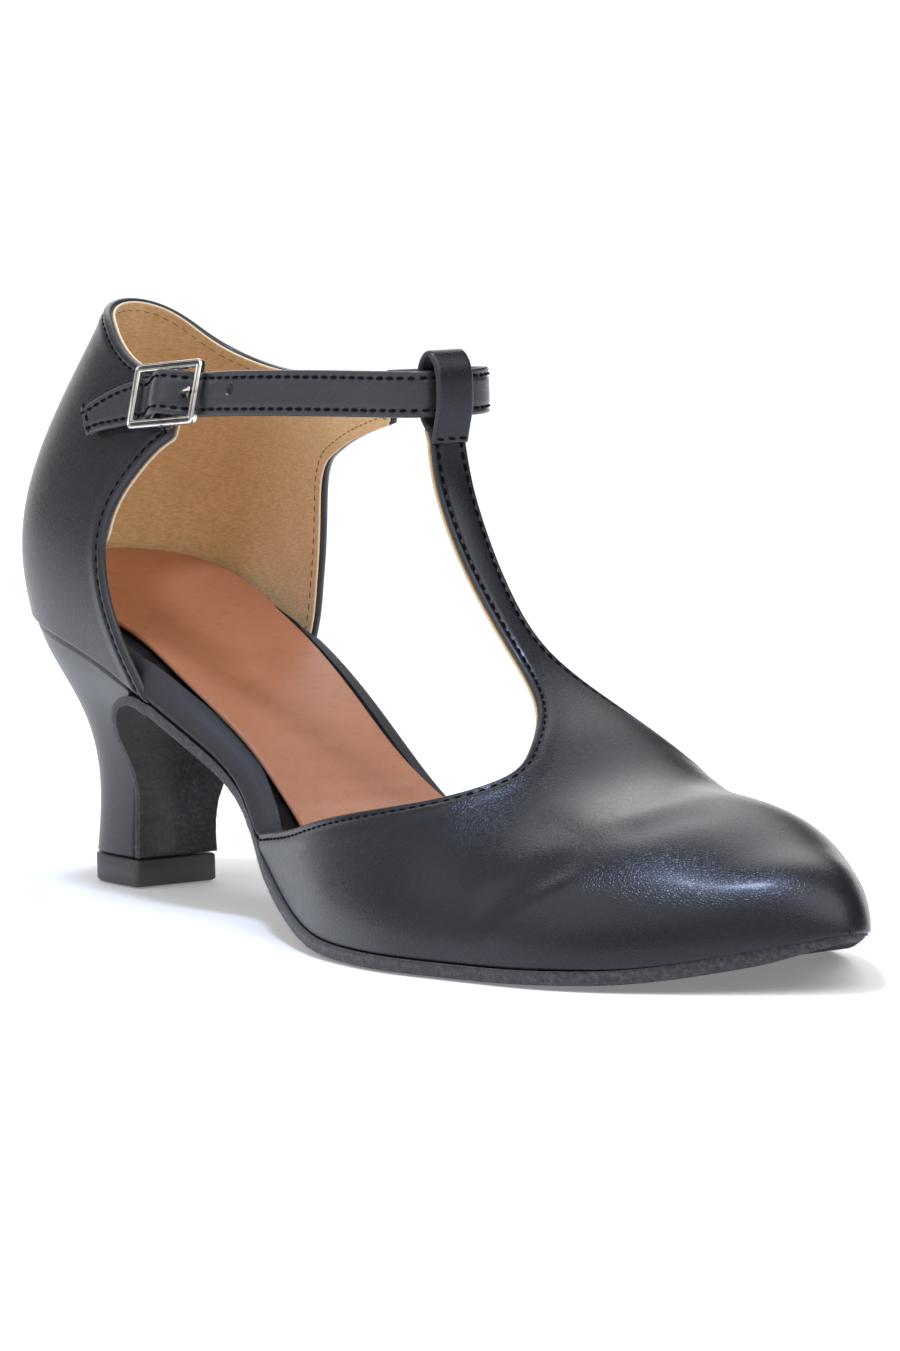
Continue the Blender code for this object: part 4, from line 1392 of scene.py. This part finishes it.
def frame_path():
    """Corner-rounded path of the buckle's frame, along and across the strap, with its inward directions."""
    turns = np.linspace(0, np.pi / 2, FRAME_TURNS)
    reach = FRAME_REACH - FRAME_CORNER
    height = FRAME_HALF_HEIGHT - FRAME_CORNER
    places = []
    for quarter_turn, signs in enumerate(((1, 1), (-1, 1), (-1, -1), (1, -1))):
        for turn in turns + quarter_turn * np.pi / 2:
            outward = np.array([np.cos(turn), np.sin(turn)])
            centre = np.array([FRAME_SHIFT + signs[0] * reach, signs[1] * height])
            places.append((centre + FRAME_CORNER * outward, outward))
    return places


def build_frame(metal):
    """Bevelled frame with a groove round its face."""
    rings = []
    for place, outward in frame_path():
        ring = []
        for inward, out in zip(*FRAME_PROFILE.values()):
            along, across_strap = place - outward * inward
            ring.append(buckle_place(along, across_strap, FRAME_OUT + out))
        rings.append(np.array(ring))
    # Points in the frame's groove, which its shader paints dark as shade
    recess = np.tile(abs(FRAME_PROFILE["inward"]) < GROOVE_WALL, len(rings)).astype(float)
    count = len(rings[0])
    faces = []
    for low in range(len(rings)):
        above = (low + 1) % len(rings)
        for k in range(count):
            nxt = (k + 1) % count
            faces.append([low * count + k, above * count + k, above * count + nxt, low * count + nxt])
    made = piece("buckle_frame", np.concatenate(rings), faces, metal, recess=recess)
    bevel = made.modifiers.new("soft_rims", "BEVEL")
    bevel.width = FRAME_BEVEL * MM
    bevel.segments = 2
    bevel.limit_method = "ANGLE"
    wear(made, "buckle_metal", "buckle_frame")


def bar_ring(radius, turns):
    """Places along and out from the strap on a ring round the centre bar, between two turns in degrees."""
    angles = np.radians(np.linspace(*turns, RING_POINTS))
    return [(radius * np.cos(angle), CENTRE_BAR_OUT + radius * np.sin(angle)) for angle in angles]


def build_prong(metal):
    """The centre bar, and the prong that turns round it and lies on the front bar."""
    _, direction, _, upward = strap_frame(strap_run()[3])
    reaches = np.linspace(-FRAME_HALF_HEIGHT, FRAME_HALF_HEIGHT, BAR_POINTS)
    ends = [buckle_place(0.0, reach, CENTRE_BAR_OUT) for reach in reaches]
    wear(loft("buckle_centre_bar", tube(ends, direction, CENTRE_BAR_RADIUS), metal), "buckle_metal")
    start = np.array([PRONG_ROOT[0] - PRONG_RING, PRONG_ROOT[1] + CENTRE_BAR_OUT])
    arm = start + (np.array(PRONG_TIP) - start) * np.linspace(0, 1, PRONG_ARM_POINTS)[:, None]
    course = [buckle_place(along, 0.0, out) for along, out in [*bar_ring(PRONG_RING, PRONG_TURN), *arm]]
    taper = [len(course) - rows for rows in PRONG_TAPER_ROWS]
    radii = PRONG_RADIUS * (1 - PRONG_TAPER * smooth(*taper, np.arange(len(course))))
    wear(loft("buckle_prong", tube(course, upward, radii), metal), "buckle_metal", "buckle_prong")


def build_stay(leather):
    """Folded strip that ties the centre bar to the quarter."""
    ring = bar_ring(STAY_RING, STAY_TURN)
    upper = list(zip(STAY_TAILS["along"], STAY_TAILS["upper"]))
    lower = list(zip(STAY_TAILS["along"], STAY_TAILS["lower"]))[::-1]
    widths = STAY_EDGES[0] + (STAY_EDGES[1] - STAY_EDGES[0]) * spaced(STAY_COLUMNS)
    rows = [[buckle_place(along, width, out) for width in widths] for along, out in [*upper, *ring, *lower]]
    skin = cut_all_round(np.array(rows))
    wear(shell("buckle_stay", skin, 0.0, STAY_PLY, leather), "black_leather", "buckle_stay")


# Sole, heel and insole


def flap_faces():
    """Front and back faces of the sole's turned-down flap, in the side plane, thinner down the breast."""
    shares = np.linspace(0, 1, FLAP_ROWS)
    front = path([BREAST["x"], BREAST["z"]])(shares)
    along = unit(np.gradient(front, axis=0))
    normal = np.stack([along[:, 1], -along[:, 0]], 1)
    thin = SOLE_THICKNESS + (FLAP_THICKNESS - SOLE_THICKNESS) * smooth(0, FLAP_THINNING, shares)
    return front, front + normal * thin[:, None]


def breast_front(z):
    """How far forward the heel's breast stands at a height, behind the sole's flap."""
    back_face = flap_faces()[1]
    down = back_face[np.argmax(back_face[:, 1]) :][::-1]
    return np.minimum(np.interp(z, down[:, 1], down[:, 0]) - BREAST_GAP, HEEL_FRONT)


def heel_ring(share, bottom, inset):
    """A closed ring round the heel block at a share of its height, with rounded front corners."""
    x0 = station_at(np.linspace(0, arc(HEEL_FRONT), HEEL_SIDE_POINTS))
    back = heel["back"](share)
    front = HEEL_FRONT
    for _ in range(BREAST_PASSES):
        front = (front + breast_front(bottom + share * (seat(front) - GAP - bottom))) / 2
    x = back + x0 / x0[-1] * (front - back)
    z = bottom + share * (seat(x) - GAP - bottom)
    rows = []
    for name, side in SIDES.items():
        shape = edge_at(x0, side) / abs(edge_at(x0, side)).max()
        rows.append(np.stack([x, shape * abs(heel[name](share)), z], 1))
    ring = np.concatenate([with_corner(rows[0], rows[1][-1]), with_corner(rows[1], rows[0][-1])[::-1][:-1]])
    centre = ring.mean(0)
    shrink = 1 - inset / np.linalg.norm(ring - centre, axis=1).mean()
    ring[:, :2] = centre[:2] + (ring[:, :2] - centre[:2]) * shrink
    return ring


def with_corner(row, beyond):
    """A row of points whose last corner is rounded towards a point beyond it."""
    corner = row[-1]
    kept = row[np.linalg.norm(row - corner, axis=1) > HEEL_CORNER]
    kept = np.concatenate([kept, np.repeat(kept[-1:], len(row) - len(kept), axis=0)])
    kept = kept[: len(row) - CORNER_ROOM]
    start = corner + HEEL_CORNER * unit(kept[-1] - corner)
    end = corner + HEEL_CORNER * unit(beyond - corner)
    b = np.linspace(0, 1, CORNER_POINTS)[:, None]
    bend = (1 - b) ** 2 * start + 2 * b * (1 - b) * corner + b * b * end
    return np.concatenate([kept, bend])


def build_heel(leather, black_rubber):
    """The covered heel block and the top piece under it."""
    bottom = TOP_PIECE_HEIGHT + GAP
    shares = 1 - np.linspace(1, 0, HEEL_RINGS) ** HEEL_CROWDING
    rings = [heel_ring(0.0, bottom, HEEL_ROUND)]
    for share in shares:
        lift = HEEL_FOOT_ROUND if share == 0 else 0.0
        rings.append(heel_ring(share, bottom + lift, HEEL_SEAM * smooth(*HEEL_SEAM_SHARES, share)))
    wear(loft("heel", rings, leather), "black_leather", "heel")
    foot = heel_ring(0.0, bottom, -TOP_PIECE_PROUD)
    foot[:, 0] += smooth(*TOP_PIECE_FRONT, foot[:, 0]) * (BREAST["x"][-1] - foot[:, 0].max())
    centre = foot.mean(0)
    levels = []
    for z, draw in zip(*TOP_PIECE_EDGE.values()):
        ring = foot.copy()
        ring[:, :2] = centre[:2] + (foot[:, :2] - centre[:2]) * draw
        ring[:, 2] = z
        levels.append(ring)
    wear(loft("top_piece", levels, black_rubber), "heel_rubber", "top_piece")


def sole_rows(share, inset):
    """Lateral and medial rows of the sole at a share of its thickness, from the flap's foot to the toe."""
    front_face, back_face = flap_faces()
    flap = (front_face * (1 - share) + back_face * share)[1:]
    angles = np.linspace(arc(BREAST["x"][0]), np.pi, SOLE_COLUMNS)
    x = station_at(angles)
    toe = smooth(*TOE, x)
    extension = SOLE_EXTENSION * smooth(*FOREPART, x) * (1 - SOLE_TOE_TRIM * toe)
    rows = []
    for name, side in SIDES.items():
        rise = np.clip((flap[:, 1] - TOP_PIECE_HEIGHT) / (seat(HEEL_FRONT) - TOP_PIECE_HEIGHT), 0, 1)
        turn = smooth(0, FLAP_TURN[name], np.linspace(0, 1, len(flap)))
        y = heel[name](rise) * turn + edge_at(flap[:, 0], side) * (1 - turn) - side * inset
        down = np.stack([flap[:, 0], y, flap[:, 1]], 1)
        top = feather_height(x, side)
        tip = smooth(*SOLE_TIP[name], x)
        thin = SOLE_TOE_THINNING[name] * toe * (1 - tip) + SOLE_TIP_THINNING * tip
        under = np.maximum(top - SOLE_THICKNESS + thin, 0.0)
        plan = outline(inset - extension, angles, side)
        fore = np.column_stack([plan, under * (1 - share) + top * share])
        row = np.concatenate([down[::-1], fore])
        row[:, 1] += SOLE_RAGGED * speckle(row, RAGGED_LUMP) * (1 - smooth(TOE[1], LENGTH, row[:, 0]))
        rows.append(row)
    rows[1][-1] = rows[0][-1]
    return rows


def build_outsole(nap):
    """The sole with its flap; returns the lines along its edge that carry fibres."""
    levels = [sole_rows(share, inset) for share, inset in zip(*SOLE_EDGE.values())]
    wear(stack("outsole", levels, nap), "sole_suede", "outsole")
    lines = []
    for share in FUZZ_SHARES:
        for row, side in zip(sole_rows(share, 0.0), SIDES.values()):
            along = unit(np.gradient(row, axis=0))
            outward = unit(np.cross(along, np.array([0.0, 0.0, 1.0])) * -side)
            outward[: FLAP_ROWS - 1] = np.array([FLAP_FUZZ_FORWARD, side, 0.0])
            lines.append((row[2:-2], outward[2:-2]))
    return lines


def open_waist(x, name):
    """1 where the upper leaves the insole's edge bare, 0 where it closes round it."""
    behind = WAIST_BEHIND[name]
    return smooth(behind, behind + WAIST_EASE, x) * (1 - smooth(WAIST_FRONT, WAIST_FRONT + WAIST_EASE, x))


def insole_rise(x):
    return INSOLE_RISE + HEEL_PAD_RISE * (1 - smooth(*HEEL_PAD, x))


def plate_rows(angles, insets, lift):
    """Lateral and medial rows of a plate inside the upper, by its insets and its height above the seat."""
    rows = []
    for name, side in SIDES.items():
        plan = outline(insets[name], angles, side)
        rows.append(np.column_stack([plan, seat(plan[:, 0]) + lift]))
    return rows


def build_insole(leather):
    angles = np.linspace(PLATE_ARCS[0], np.pi - PLATE_ARCS[1], INSOLE_COLUMNS)
    x = station_at(angles)
    rise = insole_rise(x)
    waist = {name: open_waist(x, name) for name in SIDES}
    edge = {name: spline(INSOLE_EDGE["share"], INSOLE_EDGE[name]) for name in ("open_inset", "draw")}
    levels = []
    for share in spaced(INSOLE_LEVELS):
        lift = INSOLE_LIFT + share * (rise - INSOLE_LIFT)
        closed = INSOLE_INSET + edge["draw"](share)
        insets = {name: closed + (edge["open_inset"](share) - closed) * waist[name] for name in SIDES}
        levels.append(plate_rows(angles, insets, lift))
    wear(stack("insole", levels, leather), "black_leather", "insole")


def build_sock(tan):
    angles = np.linspace(PLATE_ARCS[0], np.pi - PLATE_ARCS[1], SOCK_GRID[0])
    x = station_at(angles)
    insets = {name: spline(SOCK_EDGE["station"], SOCK_EDGE[name])(x) for name in SIDES}
    lateral, medial = plate_rows(angles, insets, insole_rise(x) + SOCK_LIFT)
    shares = spaced(SOCK_GRID[1])[None, :, None]
    skin = cut_all_round(lateral[:, None, :] * (1 - shares) + medial[:, None, :] * shares)
    relief = creased(skin.points, SOCK_FOLDS) + SOCK_UNEVEN * speckle(skin.points, SOCK_LUMP)
    wear(shell("sock", skin, 0.0, SOCK_LEATHER, tan, relief), "tan_leather", "sock")


# Stitches and fibres


def along_line_inputs(tree):
    """The tree's named inputs, as fields, and its one output."""
    for name, kind in (
        ("Lines", "Geometry"),
        ("Shape", "Object"),
        ("Pitch", "Float"),
        ("Tilt", "Float"),
        ("Shrink", "Float"),
        ("Seed", "Int"),
        ("Finish", "Material"),
    ):
        tree.interface.new_socket(name, in_out="INPUT", socket_type="NodeSocket" + kind)
    tree.interface.new_socket("Pieces", in_out="OUTPUT", socket_type="NodeSocketGeometry")
    graph = Graph(tree)
    given = tree.nodes.new("NodeGroupInput")
    return graph, {socket.name: Field(graph, socket) for socket in given.outputs if socket.name}


def along_line_turn(graph, take):
    """Turn of each shape: x along the line, z to its lift, and a random lean of at most the tilt."""
    tangent = graph.node("GeometryNodeInputTangent")
    lift = graph.node("GeometryNodeInputNamedAttribute", {"data_type": "FLOAT_VECTOR"}, {"Name": "lift"})
    align = "FunctionNodeAlignRotationToVector"
    turn = graph.node(align, {"axis": "X"}, {"Vector": tangent})
    turn = graph.node(align, {"axis": "Z", "pivot_axis": "X"}, {"Rotation": turn, "Vector": lift})
    most = take["Tilt"]
    limits = {0: most * -1.0, 1: most, "Seed": take["Seed"]}
    lean = graph.node("FunctionNodeRandomValue", {"data_type": "FLOAT_VECTOR"}, limits)
    lean = graph.node("FunctionNodeEulerToRotation", None, {"Euler": lean})
    local = {"rotation_space": "LOCAL"}
    return graph.node("FunctionNodeRotateRotation", local, {"Rotation": turn, "Rotate By": lean})


def along_line_tree():
    """Geometry nodes that lay a small shape along lines, turned to the lines and to their lift."""
    tree = bpy.data.node_groups.new("along_line", "GeometryNodeTree")
    graph, take = along_line_inputs(tree)
    curve = graph.node("GeometryNodeMeshToCurve", None, {"Mesh": take["Lines"]})
    spacing = {"Curve": curve, "Length": take["Pitch"]}
    curve = graph.node("GeometryNodeResampleCurve", {"mode": "LENGTH"}, spacing)
    turn = along_line_turn(graph, take)
    # A random number's limits come in at 2 and 3 and it goes out at 1
    limits = {2: 1 - take["Shrink"], 3: 1.0, "Seed": take["Seed"] + 1}
    scale = graph.node("FunctionNodeRandomValue", {"data_type": "FLOAT"}, limits, output=1)
    shape = graph.node("GeometryNodeObjectInfo", None, {"Object": take["Shape"]}, output="Geometry")
    laid = graph.node(
        "GeometryNodeInstanceOnPoints",
        None,
        {"Points": curve, "Instance": shape, "Rotation": turn, "Scale": scale},
    )
    laid = graph.node("GeometryNodeRealizeInstances", None, {"Geometry": laid})
    laid = graph.node("GeometryNodeSetMaterial", None, {"Geometry": laid, "Material": take["Finish"]})
    end = tree.nodes.new("NodeGroupOutput")
    graph.feed(end.inputs["Pieces"], laid)
    return tree


def lines_object(name, lines):
    """Chains of edges with a lift direction at each point, from places and normals in last coordinates."""
    points = np.concatenate([places for places, _ in lines])
    lifts = np.concatenate([normals for _, normals in lines])
    edges = []
    start = 0
    for places, _ in lines:
        edges += [(start + k, start + k + 1) for k in range(len(places) - 1)]
        start += len(places)
    mesh = bpy.data.meshes.new(name)
    mesh.from_pydata(((points - ORIGIN) * MM).tolist(), edges, [])
    mesh.attributes.new("lift", "FLOAT_VECTOR", "POINT").data.foreach_set("vector", lifts.reshape(-1))
    made = bpy.data.objects.new(name, mesh)
    bpy.context.scene.collection.objects.link(made)
    return made


def lay(name, tree, lines, shape, finish, pitch, tilt=0.0, shrink=0.0, seed=1):
    """Run the tree over lines and keep the result as a plain mesh."""
    made = lines_object(name, lines)
    modifier = made.modifiers.new("along_line", "NODES")
    modifier.node_group = tree
    values = {
        "Shape": shape,
        "Pitch": pitch * MM,
        "Tilt": tilt,
        "Shrink": shrink,
        "Seed": seed,
        "Finish": finish,
    }
    for item in tree.interface.items_tree:
        if item.in_out == "INPUT" and item.name in values:
            modifier[item.identifier] = values[item.name]
    graph = bpy.context.evaluated_depsgraph_get()
    mesh = bpy.data.meshes.new_from_object(made.evaluated_get(graph))
    made.modifiers.clear()
    made.data = mesh
    mesh.shade_smooth()
    return made


def stitch_shape(finish, radius):
    """One stitch along x: a short round thread that dips into its holes."""
    share = np.linspace(-1, 1, STITCH_POINTS)
    height = radius * (STITCH_TOP - STITCH_DIP * share**4)
    middle = np.stack([share * STITCH_LENGTH / 2, 0 * share, height], 1)
    radii = radius * np.sqrt(STITCH_BLUNT - share**4)
    rings = tube(middle + ORIGIN, np.array([0.0, 1.0, 0.0]), radii, STITCH_SIDES)
    return loft("stitch", rings, finish)


def fibre_shape(finish):
    """One bent hair of suede standing along z."""
    share = np.linspace(0, 1, FIBRE_POINTS)
    middle = np.stack([FIBRE_BEND * share**2, 0 * share, FIBRE_LENGTH * share - FIBRE_ROOT], 1)
    radii = FIBRE_RADIUS * (FIBRE_BLUNT - share)
    rings = tube(middle + ORIGIN, np.array([0.0, 1.0, 0.0]), radii, FIBRE_SIDES)
    return loft("fibre", rings, finish)


# Stage


def add_floor():
    finish = Finish("pale_floor", Specular_IOR_Level=0.1, Roughness=0.9, Emission_Strength=FLOOR_GLOW)
    finish.set(Emission_Color=(1.0, 1.0, 1.0, 1.0))
    cloud = finish.noise(400.0)
    finish.set(Base_Color=finish.mix(cloud, *FLOOR_TONES))
    angles = np.arange(FLOOR_SIDES) * 2 * np.pi / FLOOR_SIDES
    drop = np.full(FLOOR_SIDES, -FLOOR_DROP)
    rim = np.stack([FLOOR_RADIUS * np.cos(angles), FLOOR_RADIUS * np.sin(angles), drop], 1) + ORIGIN
    floor = piece("floor", rim, [list(range(FLOOR_SIDES))], finish.material)


def add_overhead():
    """The soft box over the shoe, turned to its target."""
    light = bpy.data.lights.new("overhead", "AREA")
    light.shape = "RECTANGLE"
    light.size, light.size_y = OVERHEAD_SIZE
    light.energy = OVERHEAD_WATTS
    light.color = OVERHEAD_COLOUR
    made = bpy.data.objects.new("overhead", light)
    made.location = OVERHEAD_PLACE
    way = Vector(OVERHEAD_TARGET) - Vector(OVERHEAD_PLACE)
    made.rotation_euler = way.to_track_quat("-Z", "Y").to_euler()
    bpy.context.scene.collection.objects.link(made)


def add_world():
    """A soft studio: a few broad bright parts in a dim room."""
    world = bpy.data.worlds.new("studio")
    bpy.context.scene.world = world
    world.use_nodes = True
    room = Graph(world.node_tree)
    way = room.node("ShaderNodeTexCoord", output="Generated")
    dot = {"operation": "DOT_PRODUCT"}
    glow = ROOM_GLOW
    for x, y, z, edge, core, bright in zip(*ROOM_LIGHTS.values()):
        facing = room.node("ShaderNodeVectorMath", dot, {0: way, 1: (x, y, z)}, output="Value")
        glow = glow + bright * room.step(facing, edge, core)
    background = world.node_tree.nodes["Background"]
    room.feed(background.inputs["Strength"], glow)
    room.feed(background.inputs["Color"], (1.0, 1.0, 1.0, 1.0))
    bpy.context.scene.view_settings.view_transform = "Standard"


def add_camera():
    azimuth, elevation, roll = np.radians([CAMERA_AZIMUTH, CAMERA_ELEVATION, CAMERA_ROLL])
    flat = np.cos(elevation)
    back = np.array([np.sin(azimuth) * flat, -np.cos(azimuth) * flat, np.sin(elevation)])
    level = np.array([np.cos(azimuth), np.sin(azimuth), 0.0])
    upright = np.cross(back, level)
    right = level * np.cos(roll) + upright * np.sin(roll)
    up = upright * np.cos(roll) - level * np.sin(roll)
    place = (CAMERA_TARGET + CAMERA_DISTANCE * back - ORIGIN) * MM
    camera = bpy.data.cameras.new("camera")
    camera.sensor_width = SENSOR
    camera.lens = CAMERA_FOCAL_PIXELS * SENSOR / IMAGE_HEIGHT
    made = bpy.data.objects.new("camera", camera)
    rows = [(*axes, where) for axes, where in zip(np.stack([right, up, back], 1), place)]
    made.matrix_world = Matrix([*rows, (0.0, 0.0, 0.0, 1.0)])
    bpy.context.scene.collection.objects.link(made)
    bpy.context.scene.camera = made


def main():
    leather = black_leather("black_leather")
    # Heel and insole leathers: the black leather with a darker base that is painted shade
    shaded_heel_leather = black_leather("shaded_heel_leather", SHADED_LEATHER_TONES, roughness=0.3, shine=0.17)
    shaded_insole_leather = black_leather("shaded_insole_leather", SHADED_LEATHER_TONES, roughness=0.45, shine=0.17)
    strap_leather = black_leather("strap_leather", STRAP_TONES)
    lining = beige_lining("beige_lining")
    nap = suede("charcoal_suede", *SUEDE_TONES)
    black_thread = thread("black_thread", *BLACK_THREAD_AND_PIT_SHADE_TONES)
    brown_thread = thread("brown_thread", *BROWN_THREAD_TONES)
    fuzz = thread("suede_fuzz", *FUZZ_TONES)
    metal = polished_metal("polished_metal")

    sewn_lines = build_vamp(leather, lining)
    outside, inside = build_quarter(leather, lining)
    sewn_lines += outside
    sewn_lines += build_strap(strap_leather, lining)
    build_frame(metal)
    build_prong(metal)
    build_stay(leather)
    build_heel(shaded_heel_leather, rubber("black_rubber"))
    fuzz_lines = build_outsole(nap)
    build_insole(shaded_insole_leather)
    build_sock(tan_sock("tan_sock"))

    tree = along_line_tree()
    stitch = stitch_shape(black_thread, STITCH_RADIUS)
    fine_stitch = stitch_shape(brown_thread, LINING_STITCH_RADIUS)
    fibre = fibre_shape(fuzz)
    sewing = (STITCH_PITCH, STITCH_TILT, STITCH_SHRINK)
    standing = (FUZZ_PITCH, FUZZ_TILT, FUZZ_SHRINK, FUZZ_SEED)
    wear(lay("stitches", tree, sewn_lines, stitch, black_thread, *sewing), "black_leather")
    wear(lay("lining_stitches", tree, inside, fine_stitch, brown_thread, *sewing), "tan_leather")
    wear(lay("sole_fuzz", tree, fuzz_lines, fibre, fuzz, *standing), "sole_suede")
    for shape in (stitch, fine_stitch, fibre):
        bpy.data.objects.remove(shape)

    add_floor()
    add_world()
    add_overhead()
    add_camera()


main()
